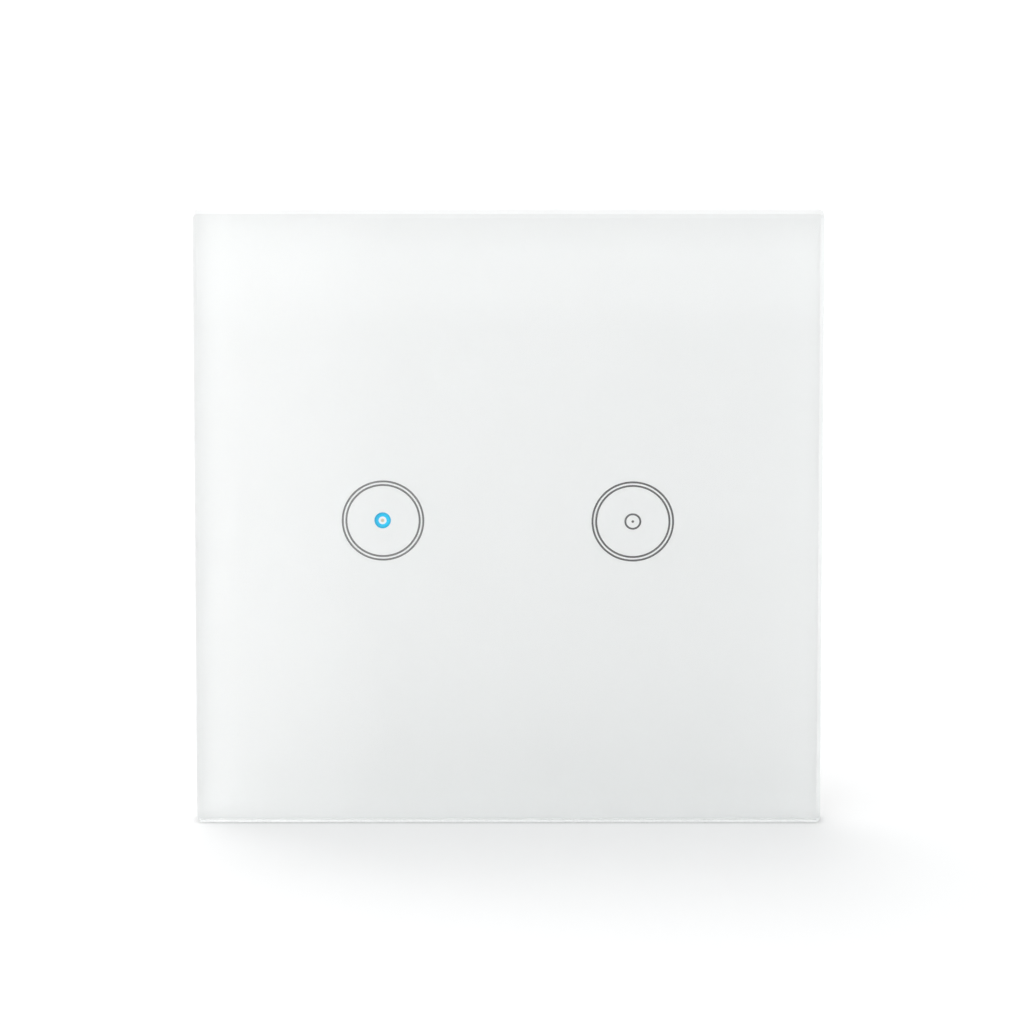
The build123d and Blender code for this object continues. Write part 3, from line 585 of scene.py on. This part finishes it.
@dataclass(frozen=True)
class WoundWire(Finish):
    """Enamelled wire in close turns along an axis, darker in the grooves between the turns: painted shade."""

    axis: Axis = Axis.Z
    wire: float = 0.14
    painted_groove_shade: float = 0.35
    depth: float = 0.05
    metallic: float = 0.7
    coat: float = 0.5

    def surface(self, shader: Shader) -> Socket:
        """Write the finish's surface."""
        phase = shader.along(self.axis) * (2 * math.pi / self.wire)
        turns = phase.maths("SINE", phase) * 0.5 + 0.5
        # The base colour is darker in the grooves between the turns: painted shade.
        darker = tuple(c * self.painted_groove_shade for c in self.colour)
        return shader.principled(
            Base_Color=shader.mixed(turns, darker, self.colour),
            Metallic=self.metallic,
            Roughness=self.roughness,
            Coat_Weight=self.coat,
            Normal=shader.bump(turns, self.depth),
        )


@dataclass(frozen=True)
class StripedSleeve(Finish):
    """A shrink sleeve with a paler stripe down one side and a bare can above it."""

    stripe: Colour = (0.45, 0.47, 0.5)
    can: Colour = (0.7, 0.7, 0.7)
    middle: tuple[float, float] = (0.0, 0.0)
    stripe_half: float = 1.2
    top: float = 23.9
    crease: float = 0.6
    crease_depth: float = 0.01
    gloss: float = 0.08

    def surface(self, shader: Shader) -> Socket:
        """Write the finish's surface."""
        off_axis = shader.along(Axis.Z) - self.middle[1]
        side = (shader.along(Axis.X) - self.middle[0]).above(0.0)
        striped = abs(off_axis).below(self.stripe_half) * side
        can = shader.along(Axis.Y).above(self.top)
        sleeve = shader.mixed(striped, self.colour, self.stripe)
        crease = shader.noise(self.crease, 2.0)
        return shader.principled(
            Base_Color=shader.mixed(can, sleeve, self.can),
            Metallic=can,
            Roughness=self.roughness + self.gloss * crease,
            Normal=shader.bump(crease, self.crease_depth),
        )


FINISHES: dict[str, Finish] = {
    "clear_glass": ClearGlass("float_glass", (0.98, 0.994, 0.99), 0.0, 1.52),
    "white_film": Print("white_back_print", (0.936, 0.931, 0.931), 0.55, 0.004),
    "tape": MouldedPlastic("foam_tape", (0.82, 0.82, 0.8), 0.8, 0.3, 0.02, 0.04),
    "white_abs": MouldedPlastic("white_moulded_frame", (0.84, 0.845, 0.835), 0.36, 0.18, 0.004),
    "white_polycarbonate": MouldedPlastic("white_moulded_box", (0.78, 0.785, 0.775), 0.44, 0.24, 0.007),
    "spring_steel": PlatedMetal("spring_steel", (0.64, 0.63, 0.6), 0.26, Axis.X),
    "zinc_steel": PlatedMetal("zinc_plated_steel", (0.68, 0.69, 0.7), 0.3, Axis.X),
    "soft_iron": PlatedMetal("nickelled_iron", (0.5, 0.49, 0.47), 0.34, Axis.Y),
    "tinned_steel": PlatedMetal("tinned_can", (0.7, 0.7, 0.69), 0.28, Axis.Z, 0.2),
    "tinned_brass": PlatedMetal("tinned_brass", (0.74, 0.62, 0.38), 0.3, Axis.Y),
    "gilt_brass": LeadedPart("pin_strip", (0.03, 0.03, 0.032), 0.45, Axis.Y, 7.88, 9.92, (0.83, 0.64, 0.27)),
    "copper_wire": WoundWire("enamelled_copper", (0.72, 0.3, 0.12), 0.3),
    "board_green": CircuitBoard("green_board", (0.012, 0.15, 0.06), 0.3),
    "board_blue": CircuitBoard("blue_board", (0.012, 0.045, 0.2), 0.3, (0.03, 0.1, 0.38)),
    "clear_acrylic": ClearGlass("frosted_acrylic", (0.93, 0.95, 0.96), 0.32, 1.49),
    "led_blue": LitWindow("lit_lamp", linear(60, 170, 240), 0.4, linear(150, 220, 255), 1.4),
    "led_body": MouldedPlastic("unlit_lamp", (0.78, 0.77, 0.62), 0.25, 0.3, 0.002),
    "chip_black": MouldedPlastic("black_moulding", (0.022, 0.022, 0.024), 0.5, 0.14, 0.006),
    "terminal_green": MouldedPlastic("green_moulding", (0.035, 0.26, 0.1), 0.42, 0.2, 0.006),
    "relay_black": MouldedPlastic("relay_moulding", (0.03, 0.03, 0.034), 0.38, 0.16, 0.005),
    "bobbin_white": MouldedPlastic("bobbin_moulding", (0.76, 0.75, 0.7), 0.45, 0.2, 0.005),
    "ferrite": MouldedPlastic("ferrite", (0.06, 0.06, 0.065), 0.7, 0.1, 0.012, 0.08),
    "winding_tape": MouldedPlastic("polyester_tape", (0.82, 0.55, 0.05), 0.28, 1.2, 0.01),
    "capacitor_sleeve": StripedSleeve("capacitor_sleeve", (0.02, 0.022, 0.03), 0.3, middle=(-7.9, 0.72)),
    "capacitor_box": MouldedPlastic("yellow_moulding", (0.74, 0.6, 0.1), 0.35, 0.5, 0.004),
    "varistor_blue": LeadedPart(
        "blue_epoxy", (0.03, 0.12, 0.5), 0.25, Axis.Y, 12.45, grain=1.1, grain_depth=0.03
    ),
    "fuse_ceramic": LeadedPart("glazed_ceramic", (0.83, 0.82, 0.78), 0.2, Axis.X, -9.2, -5.4),
}
NODE_FINISHES: dict[str, Finish] = {
    "touch_chip": LeadedPart("touch_chip_black", (0.02, 0.02, 0.022), 0.5, Axis.Z, -8.46, -4.54),
    "bridge_rectifier": LeadedPart("rectifier_black", (0.02, 0.02, 0.022), 0.5, Axis.Z, 6.64, 11.36),
}


class FinishShelf:
    """Makes each finish's material once and hands it out."""

    def __init__(self) -> None:
        """Start with no material made."""
        self._made: dict[str, Material] = {}

    def take(self, finish: Finish) -> Material:
        """Give a finish's material.

        Args:
            finish: The finish.

        Returns:
            Its material.
        """
        if finish.name not in self._made:
            self._made[finish.name] = finish.build()
        return self._made[finish.name]

    def slot(self, name: str) -> Material:
        """Give the material of one of the record's slots."""
        return self.take(FINISHES[name])


# Pieces that repeat, grown by geometry nodes


class Pattern(Tree):
    """A geometry tree that sets one shape on each point of a piece, with named sizes."""

    def __init__(self, name: str, sizes: Sequence[str]) -> None:
        """Start the tree.

        Args:
            name: The tree's name.
            sizes: The names of its size inputs.
        """
        group = bpy.data.node_groups.new(name, "GeometryNodeTree")
        group.interface.new_socket("Geometry", in_out="INPUT", socket_type="NodeSocketGeometry")
        for size in sizes:
            group.interface.new_socket(size, in_out="INPUT", socket_type="NodeSocketFloat")
        group.interface.new_socket("Geometry", in_out="OUTPUT", socket_type="NodeSocketGeometry")
        super().__init__(group)
        self.start = self.node("NodeGroupInput")
        self.end = self.node("NodeGroupOutput")

    def size(self, name: str) -> Wire:
        """Give one of the named sizes."""
        return Wire(self, self.start.outputs[name])

    def vector(self, x: Any, y: Any, z: Any) -> Socket:
        """Join three numbers into a vector."""
        return self.node("ShaderNodeCombineXYZ", inputs={"X": x, "Y": y, "Z": z}).outputs[0]

    def painted(self, shape: Socket, material: Material) -> Socket:
        """Give a shape its material."""
        made = self.node("GeometryNodeSetMaterial", inputs={"Geometry": shape, "Material": material})
        return made.outputs[0]

    def joined(self, *shapes: Socket) -> Socket:
        """Join shapes into one."""
        made = self.node("GeometryNodeJoinGeometry")
        for shape in reversed(shapes):
            self.feed(made.inputs[0], shape)
        return made.outputs[0]

    def moved(self, shape: Socket, by: Any) -> Socket:
        """Move a shape."""
        made = self.node("GeometryNodeTransform", inputs={"Geometry": shape, "Translation": by})
        return made.outputs[0]

    def close(self, shape: Socket, turn: Any, material: Material | None) -> None:
        """Set the shape on every point, realize the instances and end the tree.

        Args:
            shape: The shape to repeat.
            turn: Its turn about each axis, in radians.
            material: Its material, or None where it is painted already.
        """
        placed = self.node(
            "GeometryNodeInstanceOnPoints",
            inputs={"Points": self.start.outputs["Geometry"], "Instance": shape, "Rotation": turn},
        )
        real = self.node("GeometryNodeRealizeInstances", inputs={"Geometry": placed.outputs[0]})
        out = real.outputs[0] if material is None else self.painted(real.outputs[0], material)
        self.feed(self.end.inputs[0], out)

    def grow(self, name: str, points: Iterable[Place], **sizes: float) -> Object:
        """Grow a piece on some points, as a plain mesh.

        Args:
            name: The piece's name.
            points: Where each copy goes, in millimetres.
            **sizes: The tree's sizes, in millimetres, with _ for each space in their names.

        Returns:
            The piece.
        """
        mesh = bpy.data.meshes.new(name + "_points")
        mesh.from_pydata([tuple(c * MM for c in p) for p in points], [], [])
        piece = add(name, mesh)
        modifier = piece.modifiers.new("grow", "NODES")
        modifier.node_group = self.nodes
        for item in self.nodes.interface.items_tree:
            if item.in_out == "INPUT" and item.name != "Geometry":
                modifier[item.identifier] = sizes[item.name.replace(" ", "_")] * MM
        return plain(piece)


def plain(piece: Object) -> Object:
    """Turn a piece with modifiers into a plain mesh.

    Args:
        piece: The piece.

    Returns:
        The same piece, with no modifier left.
    """
    seen = piece.evaluated_get(bpy.context.evaluated_depsgraph_get())
    mesh = bpy.data.meshes.new_from_object(seen)
    piece.modifiers.clear()
    old = piece.data
    piece.data = mesh
    bpy.data.meshes.remove(old)
    mesh.name = piece.name
    return piece


RING_STEPS = 128
DISC_STEPS = 32
CHIP_BODY = (0.94, 0.96)  # height and width of a chip's body, as shares of its ends
CHIP_SKEW = 0.02  # how far a chip may be turned, in radians


def ring_pattern(name: str, material: Material) -> Pattern:
    """Flat rings that face -Y, such as printed circles.

    Args:
        name: The tree's name.
        material: Their material.

    Returns:
        The tree, with sizes radius, width and thickness.
    """
    tree = Pattern(name, ["radius", "width", "thickness"])
    circle = tree.node(
        "GeometryNodeCurvePrimitiveCircle", inputs={"Resolution": RING_STEPS, "Radius": tree.size("radius")}
    )
    profile = tree.node(
        "GeometryNodeCurvePrimitiveQuadrilateral",
        inputs={"Width": tree.size("width"), "Height": tree.size("thickness")},
    )
    band = tree.node(
        "GeometryNodeCurveToMesh",
        inputs={"Curve": circle.outputs[0], "Profile Curve": profile.outputs[0], "Fill Caps": True},
    )
    tree.close(band.outputs[0], TO_ROOM, material)
    return tree


def disc_pattern(name: str, material: Material) -> Pattern:
    """Discs or cones that face -Y, such as printed dots and solder fillets.

    Args:
        name: The tree's name.
        material: Their material.

    Returns:
        The tree, with sizes foot, tip and height.
    """
    tree = Pattern(name, ["foot", "tip", "height"])
    cone = tree.node(
        "GeometryNodeMeshCone",
        inputs={
            "Vertices": DISC_STEPS,
            "Side Segments": 3,
            "Fill Segments": 1,
            "Radius Top": tree.size("tip"),
            "Radius Bottom": tree.size("foot"),
            "Depth": tree.size("height"),
        },
    )
    tree.close(cone.outputs[0], TO_ROOM, material)
    return tree


def chip_pattern(name: str, body: Material, ends: Material) -> Pattern:
    """Small surface-mounted parts that stand on a board facing -Y: a body between two metal ends.

    Args:
        name: The tree's name.
        body: The body's material.
        ends: The ends' material.

    Returns:
        The tree, with sizes length, width, height and end.
    """
    tree = Pattern(name, ["length", "width", "height", "end"])
    length, width, height, end = (tree.size(n) for n in ("length", "width", "height", "end"))
    slim = tree.vector(length - 2 * end, height * CHIP_BODY[0], width * CHIP_BODY[1])
    middle = tree.node("GeometryNodeMeshCube", inputs={"Size": slim})
    cap = tree.node("GeometryNodeMeshCube", inputs={"Size": tree.vector(end, height, width)})
    shift = (length - end) * 0.5
    caps = [tree.moved(cap.outputs[0], tree.vector(shift * sign, 0.0, 0.0)) for sign in (-1, 1)]
    shape = tree.joined(tree.painted(middle.outputs[0], body), *(tree.painted(c, ends) for c in caps))
    skew = tree.node(
        "FunctionNodeRandomValue",
        {"data_type": "FLOAT_VECTOR"},
        {"Min": (0.0, -CHIP_SKEW, 0.0), "Max": (0.0, CHIP_SKEW, 0.0), "Seed": 7},
    )
    tree.close(shape, skew.outputs[0], None)
    return tree


# Sub-assemblies


def keep(piece: Object, body: str) -> Object:
    """Let a finished piece ride on a body and log how many faces it has.

    Args:
        piece: The piece, in place.
        body: The body that it moves with.

    Returns:
        The piece.
    """
    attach(piece, body)
    log.info("%s: %d faces on %s", piece.name, len(piece.data.polygons), body)
    return piece


def box_mesh(
    name: str, low: Place, high: Place, edge: float, material: Material, corner: float = 0.0
) -> Object:
    """A box between two corners with rounded edges.

    Args:
        name: The piece's name.
        low: The lowest corner, in millimetres.
        high: The highest corner, in millimetres.
        edge: The edges' radius, in millimetres.
        material: Its material.
        corner: The radius of the four edges along Y, where it is larger.

    Returns:
        The piece.
    """
    mesh = bpy.data.meshes.new(name)
    shape = bmesh.new()
    size = [h - l for l, h in zip(low, high)]
    middle = [(h + l) / 2 for l, h in zip(low, high)]
    place = Matrix.Translation([m * MM for m in middle]) @ Matrix.Diagonal([s * MM for s in size] + [1.0])
    bmesh.ops.create_cube(shape, size=1.0, matrix=place)
    rounding = {"profile": 0.5, "affect": "EDGES"}
    if corner:
        along_y = [e for e in shape.edges if abs(e.verts[0].co.y - e.verts[1].co.y) > 0.5 * size[1] * MM]
        bmesh.ops.bevel(shape, geom=along_y, offset=corner * MM, segments=6, **rounding)
    bmesh.ops.bevel(shape, geom=shape.edges[:], offset=edge * MM, segments=3, clamp_overlap=True, **rounding)
    bmesh.ops.recalc_face_normals(shape, faces=shape.faces[:])
    shape.to_mesh(mesh)
    shape.free()
    mesh.materials.append(material)
    return add(name, mesh)


@dataclass
class GlassPanel:
    """The glass with its back print: two ringed touch marks, the left one lit."""

    shelf: FinishShelf
    key_x: tuple[float, float] = (-17.234, 17.067)
    key_z: float = -0.49
    key_slope: float = -0.004
    print_y: float = -3.83
    print_t: float = 0.02
    film_size: float = 85.99
    film_edge: float = 0.02
    film_corner: float = 0.595
    film_back: float = -3.6
    ring_radii: tuple[float, float] = (5.535, 5.03)
    line: float = 0.26
    small_ring: float = 1.02
    small_line: float = 0.26
    dot: float = 0.18
    lamp_ring: float = 0.835
    lamp_width: float = 0.59
    lamp_dot: float = 0.25
    lamp_shift: float = -0.05
    lamp_rise: float = 0.027

    def build(self) -> None:
        """Make the film and the marks."""
        half = self.film_size / 2
        film = box_mesh(
            "back_print",
            (-half, self.print_y + self.print_t / 2, -half),
            (half, self.film_back, half),
            self.film_edge,
            self.shelf.slot("white_film"),
            self.film_corner,
        )
        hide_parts("mask_film")
        keep(film, "panel")
        # The left key's rings take a lighter copy of the grey ink: painted light from the lit key behind
        # them.
        left_ink = self.shelf.take(Print("lit_grey_ink", linear(128, 127, 127), 0.5, 0.05))
        right_ink = self.shelf.take(Print("grey_ink", linear(102, 101, 101), 0.5, 0.05))
        for side, x, ink in zip(Side, self.key_x, (left_ink, right_ink)):
            label = side.name.lower()
            rings = ring_pattern(f"{label}_rings", ink)
            place = self._place(x)
            for number, radius in enumerate(self.ring_radii, start=1):
                self._ring(rings, f"{label}_key_ring_{number}", place, radius, self.line)
            if side is Side.RIGHT:
                self._ring(rings, "unlit_ring", place, self.small_ring, self.small_line)
                self._dot(ink, "unlit_dot", place, self.dot)
        self._lit_mark()

    def _place(self, x: float, rise: float = 0.0, layer: int = 0) -> Place:
        """Give the middle of a mark, some way above the keys' line and on some layers of print."""
        return (x, self.print_y - layer * self.print_t, self.key_z + self.key_slope * x + rise)

    def _ring(self, rings: Pattern, name: str, place: Place, radius: float, width: float) -> None:
        """Print a ring, whose line has its middle at the radius."""
        ring = rings.grow(name, [place], radius=radius, width=width, thickness=self.print_t)
        keep(ring, "panel")

    def _dot(self, ink: Material, name: str, place: Place, radius: float) -> None:
        """Print a dot."""
        dots = disc_pattern(f"{name}_pattern", ink)
        keep(dots.grow(name, [place], foot=radius, tip=radius, height=self.print_t), "panel")

    def _lit_mark(self) -> None:
        """Make the left key's lit ring, its pale middle and its dot."""
        x = self.key_x[0] + self.lamp_shift
        place = self._place(x, self.lamp_rise)
        middle = (place[0], place[2])
        second = linear(20, 207, 254)
        blue = LitWindow("lit_blue", linear(0, 188, 236), 0.5, second, 1.0, middle, dimming=0.25)
        pale = LitWindow("lit_pale", linear(238, 246, 250), 0.5, linear(250, 250, 250), 0.95)
        beige = Print("beige_dot", linear(214, 205, 186), 0.5, 0.03)
        rings = ring_pattern("lit_rings", self.shelf.take(blue))
        self._ring(rings, "lit_ring", place, self.lamp_ring, self.lamp_width)
        inner = self.lamp_ring - self.lamp_width / 2
        self._dot(self.shelf.take(pale), "lit_middle", place, inner)
        on_top = self._place(x, self.lamp_rise, 1)
        self._dot(self.shelf.take(beige), "lit_dot", on_top, self.lamp_dot)


@dataclass
class PanelFrame:
    """Small moulding marks on the back of the panel frame."""

    shelf: FinishShelf
    back_y: float = -2.25
    mark_z: tuple[float, float] = (14.0, 33.0)
    mark_radius: float = 1.6
    mark_line: float = 0.22
    mark_t: float = 0.12

    def build(self) -> None:
        """Make the ejector marks."""
        rings = ring_pattern("ejector_marks", self.shelf.slot("white_abs"))
        y = self.back_y + self.mark_t / 2
        inner, outer = self.mark_z
        places = [(x, y, z) for x in (-outer, outer) for z in (-outer, outer)]
        places += [(0.0, y, z) for z in (-outer, -inner, inner, outer)]
        marks = rings.grow(
            "ejector_marks", places, radius=self.mark_radius, width=self.mark_line, thickness=self.mark_t
        )
        keep(marks, "panel")


def places_along(first: float, step: float, count: int, z: float, y: float) -> list[Place]:
    """Give places in a row along X, in millimetres."""
    return [(first + step * i, y, z) for i in range(count)]


@dataclass(frozen=True)
class SmallPart:
    """One kind of surface-mounted part round the touch chip, in a row and in a column at each side."""

    name: str
    finish: Finish
    row: tuple[float, float, int, float]
    side_x: float
    side_z: tuple[float, ...]
    height: float
    end: float
    length: float = 1.6
    width: float = 0.8

    def build(self, board_y: float, ends: Material, shelf: FinishShelf) -> None:
        """Set the parts on the board.

        Args:
            board_y: The board's face, in millimetres.
            ends: The material of their ends.
            shelf: Where the body's material comes from.
        """
        y = board_y - self.height / 2
        places = places_along(*self.row, y)
        places += [(side.value * self.side_x, y, z) for side in Side for z in self.side_z]
        pattern = chip_pattern(self.name, shelf.take(self.finish), ends)
        placed = pattern.grow(
            self.name, places, length=self.length, width=self.width, height=self.height, end=self.end
        )
        keep(placed, "base")


@dataclass
class TouchBoardParts:
    """Surface-mounted parts and solder on the front of the touch board."""

    shelf: FinishShelf
    board_y: float = 1.5
    key_x: float = 17.2
    spring_r: float = 4.6
    pin_z: float = -8.0
    pin_pitch: float = 2.54
    pin_count: int = 6
    pads: tuple[float, float, int, float] = (-3.0, 2.0, 4, 20.6)
    small_parts: tuple[SmallPart, ...] = (
        SmallPart(
            name="resistors",
            finish=MouldedPlastic("resistor_glaze", (0.03, 0.03, 0.035), 0.3, 0.3, 0.002),
            row=(-6.0, 2.4, 6, 1.2),
            side_x=9.6,
            side_z=(5.4, 7.4, 9.4),
            height=0.5,
            end=0.3,
        ),
        SmallPart(
            name="capacitors",
            finish=MouldedPlastic("capacitor_ceramic", (0.42, 0.3, 0.17), 0.4, 0.3, 0.002),
            row=(-4.8, 3.2, 4, -12.2),
            side_x=8.4,
            side_z=(-5.4, -7.6),
            height=0.8,
            end=0.35,
        ),
    )

    def build(self) -> None:
        """Make the small parts, the solder and the pads."""
        tin = self.shelf.take(PlatedMetal("solder", (0.7, 0.7, 0.69), 0.22, Axis.X, 0.3))
        for kind in self.small_parts:
            kind.build(self.board_y, tin, self.shelf)
        cones = disc_pattern("solder_cones", tin)
        y = self.board_y
        pins = [(self._pin_x(i), y, self.pin_z) for i in range(self.pin_count)]
        solder = cones.grow("socket_solder", pins, foot=0.75, tip=0.3, height=0.35)
        keep(solder, "base")
        feet = [(side.value * self.key_x + self.spring_r, y, 0.0) for side in Side]
        fillets = cones.grow("spring_solder", feet, foot=0.95, tip=0.35, height=0.5)
        keep(fillets, "base")
        gilt = self.shelf.take(PlatedMetal("gilt_pad", (0.85, 0.66, 0.3), 0.25))
        spots = places_along(*self.pads, y)
        pads = disc_pattern("test_pads", gilt).grow("test_pads", spots, foot=0.6, tip=0.6, height=0.04)
        keep(pads, "base")

    def _pin_x(self, number: int) -> float:
        """Give a connector pin's X."""
        return (number - (self.pin_count - 1) / 2) * self.pin_pitch


@dataclass
class BackDetails:
    """The blank label in the recess on the back of the wall box."""

    shelf: FinishShelf
    label_size: tuple[float, float] = (23.4, 11.4)
    label_z: float = 8.0
    label_floor: float = 28.7
    label_t: float = 0.12
    label_sunk: float = 0.02
    label_edge: float = 0.04

    def build(self) -> None:
        """Make the label."""
        paper = self.shelf.take(MouldedPlastic("silver_label", (0.6, 0.61, 0.62), 0.34, 0.5, 0.002))
        half_x, half_z = self.label_size[0] / 2, self.label_size[1] / 2
        label = box_mesh(
            "blank_label",
            (-half_x, self.label_floor - self.label_sunk, self.label_z - half_z),
            (half_x, self.label_floor + self.label_t, self.label_z + half_z),
            self.label_edge,
            paper,
        )
        keep(label, "base")


# Studio and camera


@dataclass(frozen=True)
class SoftLamp:
    """A square lamp that looks at the switch."""

    name: str
    place: Place
    size: float
    power: float
    colour: Colour = WHITE
    floor_only: bool = False

    def build(self, floor: Object) -> None:
        """Hang the lamp.

        Args:
            floor: The floor, for a lamp that lights nothing else.
        """
        data = bpy.data.lights.new(self.name, "AREA")
        data.shape = "SQUARE"
        data.size = self.size
        data.energy = self.power
        data.color = self.colour
        lamp = hang(self.name, data, Vector(self.place), -Vector(self.place))
        lamp.visible_camera = False
        lamp.visible_glossy = False
        if self.floor_only:
            lit = bpy.data.collections.new(self.name + "_lights")
            lit.objects.link(floor)
            lamp.light_linking.receiver_collection = lit


@dataclass
class Studio:
    """The pale floor with a painted contact shadow, painted light under the glass and bands of painted
    reflection, the white surroundings and the soft lamps.
    """

    floor_z: float = -0.04302
    reach: float = 3.0
    surround: float = 0.972
    mirrored_surround: float = 0.25
    floor_tone: float = 0.34
    bounce_tone: float = 0.87
    floor_glow: float = 0.422
    left_glow: float = 0.55
    left_fade: tuple[float, float] = (-29.0, -14.0)
    far_glow: float = 0.63
    far_rise: tuple[float, float] = (300.0, 345.0)
    far_fall: tuple[float, float] = (359.0, 388.0)
    eye_distance: float = 1366.0
    beside: float = 30.0
    right_glow: float = 1.2
    edges: tuple[float, float] = (45.0, 60.0)
    left_dark: float = 0.6
    painted_contact_shade: float = 0.6
    contact_reach: float = 0.9
    painted_piped_light: float = 0.6
    under_y: float = 6.4
    under_reach: tuple[float, float] = (0.3, 1.1)
    under_half: float = 42.8
    under_glow: float = 1.0
    lamps: tuple[SoftLamp, ...] = (
        SoftLamp("key_lamp", (-0.25, 0.52, 1.0), 0.8, 11.8, (1.0, 0.98, 0.98), True),
        SoftLamp("top_lamp", (0.0, -0.3, 1.0), 0.5, 2.15, (0.9, 1.0, 1.03)),
        SoftLamp("side_lamp", (-0.35, -0.2, 0.15), 0.25, 0.335, (1.0, 0.97, 0.95)),
    )

    def build(self) -> None:
        """Build the studio."""
        floor = self._floor()
        self._world()
        for lamp in self.lamps:
            lamp.build(floor)
        bpy.context.scene.view_settings.view_transform = "Standard"

    def _seen(self, tree: Tree) -> Wire:
        """Give 1 for rays that show the surroundings themselves, and 0 for light that falls on things."""
        path = tree.node("ShaderNodeLightPath")
        rays = [Wire(tree, path.outputs[f"Is {kind} Ray"]) for kind in ("Camera", "Glossy", "Transmission")]
        plain_path = Wire(tree, path.outputs["Diffuse Depth"]).below(0.5)
        return rays[0].larger(rays[1]).larger(rays[2]) * plain_path

    def _floor(self) -> Object:
        """Lay the floor, which is clear when seen from below. Its glow is darkened by ambient occlusion where
        things stand close on it, a painted contact shadow, and for light that falls on things it glows there
        instead, painted light under the glass.

        Returns:
            The floor.
        """
        shader = Shader("pale_floor")
        seen = self._seen(shader)
        tone = shader.mixed(seen, (self.bounce_tone,) * 3, (self.floor_tone,) * 3)
        matt = shader.node("ShaderNodeBsdfDiffuse", inputs={"Color": tone})
        distance = self.contact_reach * MM
        near = shader.node("ShaderNodeAmbientOcclusion", {"samples": 4}, {"Distance": distance})
        hidden = 1.0 - Wire(shader, near.outputs["AO"])
        # For light that falls on things, the floor glows where things stand close on it: painted light
        # standing in for light piped down through the glass.
        strength = seen * self._glow(shader, hidden) + (1.0 - seen) * hidden * self.painted_piped_light
        glow = shader.node("ShaderNodeEmission", inputs={"Color": WHITE, "Strength": strength})
        lit = shader.node("ShaderNodeAddShader", inputs={0: matt.outputs[0], 1: glow.outputs[0]})
        clear = shader.node("ShaderNodeBsdfTransparent")
        side = shader.node("ShaderNodeNewGeometry")
        both = shader.node(
            "ShaderNodeMixShader",
            inputs={0: side.outputs["Backfacing"], 1: lit.outputs[0], 2: clear.outputs[0]},
        )
        mesh = bpy.data.meshes.new("floor")
        r, z = self.reach, self.floor_z
        mesh.from_pydata([(-r, -r, z), (r, -r, z), (r, r, z), (-r, r, z)], [], [(0, 1, 2, 3)])
        mesh.materials.append(shader.finish(both.outputs[0]))
        floor = add("floor", mesh)
        return floor

    def _glow(self, shader: Shader, hidden: Wire) -> Wire:
        """Give the floor's glow, with bands of painted reflection that glow only for glossy rays, so they
        show only where the glass and its edges mirror them; beside the left edge the glossy glow is lowered,
        a painted dark reflection.

        Args:
            shader: The floor's material.
            hidden: How much of the sky a thing that stands on the floor hides.

        Returns:
            The strength of the glow.
        """
        path = shader.node("ShaderNodeLightPath")
        x = shader.along(Axis.X)
        ahead = 0.0 - shader.along(Axis.Y)
        across = x / (abs(ahead) / self.eye_distance + 1.0)
        # Painted reflections: the bands below glow only for glossy rays.
        left = across.spread(*self.left_fade, self.left_glow, 0.0)
        rise = ahead.spread(*self.far_rise, 0.0, self.far_glow)
        far = rise - ahead.spread(*self.far_fall, 0.0, self.far_glow)
        beside = abs(ahead).below(self.beside)
        right_edge = x.spread(*self.edges, 0.0, self.right_glow) * beside
        darkest = (self.floor_glow + self.left_glow) * self.left_dark
        # Beside the left edge the glossy glow is lowered: a painted dark reflection.
        left_edge = (0.0 - x).spread(*self.edges, 0.0, darkest) * beside
        under = abs(ahead - self.under_y).spread(*self.under_reach, 1.0, 0.0) * abs(x).below(self.under_half)
        painted_reflection = left + far + right_edge - left_edge + under * self.under_glow
        # The glow is darkened where things stand close on the floor: a painted contact shadow.
        plain_glow = self.floor_glow * (1.0 - hidden * self.painted_contact_shade)
        return painted_reflection * Wire(shader, path.outputs["Is Glossy Ray"]) + plain_glow

    def _world(self) -> None:
        """Set white surroundings, a little brighter where a surface mirrors them."""
        world = bpy.data.worlds.new("surroundings")
        world.use_nodes = True
        bpy.context.scene.world = world
        tree = Tree(world.node_tree)
        path = tree.node("ShaderNodeLightPath")
        direct = Wire(tree, path.outputs["Diffuse Depth"]).below(0.5)
        painted_reflection = Wire(tree, path.outputs["Is Glossy Ray"]) * direct * self.mirrored_surround
        strength = painted_reflection + self.surround
        sky = tree.node("ShaderNodeBackground", inputs={"Color": WHITE, "Strength": strength})
        tree.node("ShaderNodeOutputWorld", inputs={"Surface": sky.outputs[0]})


@dataclass(frozen=True)
class Viewpoint:
    """The photograph's camera: it looks a little down at the middle of the glass."""

    aim: Place = (0.00048, -0.007, 0.0013)
    distance: float = 1.4083
    pitch: float = math.radians(14.08)
    lens: float = 361.2
    sensor: float = 36.0

    def build(self) -> None:
        """Set the camera."""
        data = bpy.data.cameras.new("photo_camera")
        data.lens = self.lens
        data.sensor_width = self.sensor
        data.clip_start, data.clip_end = 0.05, 20.0
        back = Vector((0.0, -math.cos(self.pitch), math.sin(self.pitch)))
        place = Vector(self.aim) + back * self.distance
        bpy.context.scene.camera = hang("photo_camera", data, place, -back)


def dress_nodes(shelf: FinishShelf) -> None:
    """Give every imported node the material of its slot, or its own.

    Args:
        shelf: Where the materials come from.
    """
    for part in frame["record"]["subparts"]:
        node = frame["nodes"][part["node"]]
        finish = NODE_FINISHES.get(part["node"], FINISHES[part["material_slot"]])
        node.data.materials.clear()
        node.data.materials.append(shelf.take(finish))
        log.info("%s: %s", part["node"], finish.name)


def main() -> None:
    """Build the switch's looks, its studio and the camera, in order."""
    logging.basicConfig(level=logging.INFO, format="%(message)s")
    shelf = FinishShelf()
    Viewpoint().build()
    Studio().build()
    dress_nodes(shelf)
    for assembly in (GlassPanel(shelf), PanelFrame(shelf), TouchBoardParts(shelf), BackDetails(shelf)):
        assembly.build()


if __name__ == "__main__":
    main()
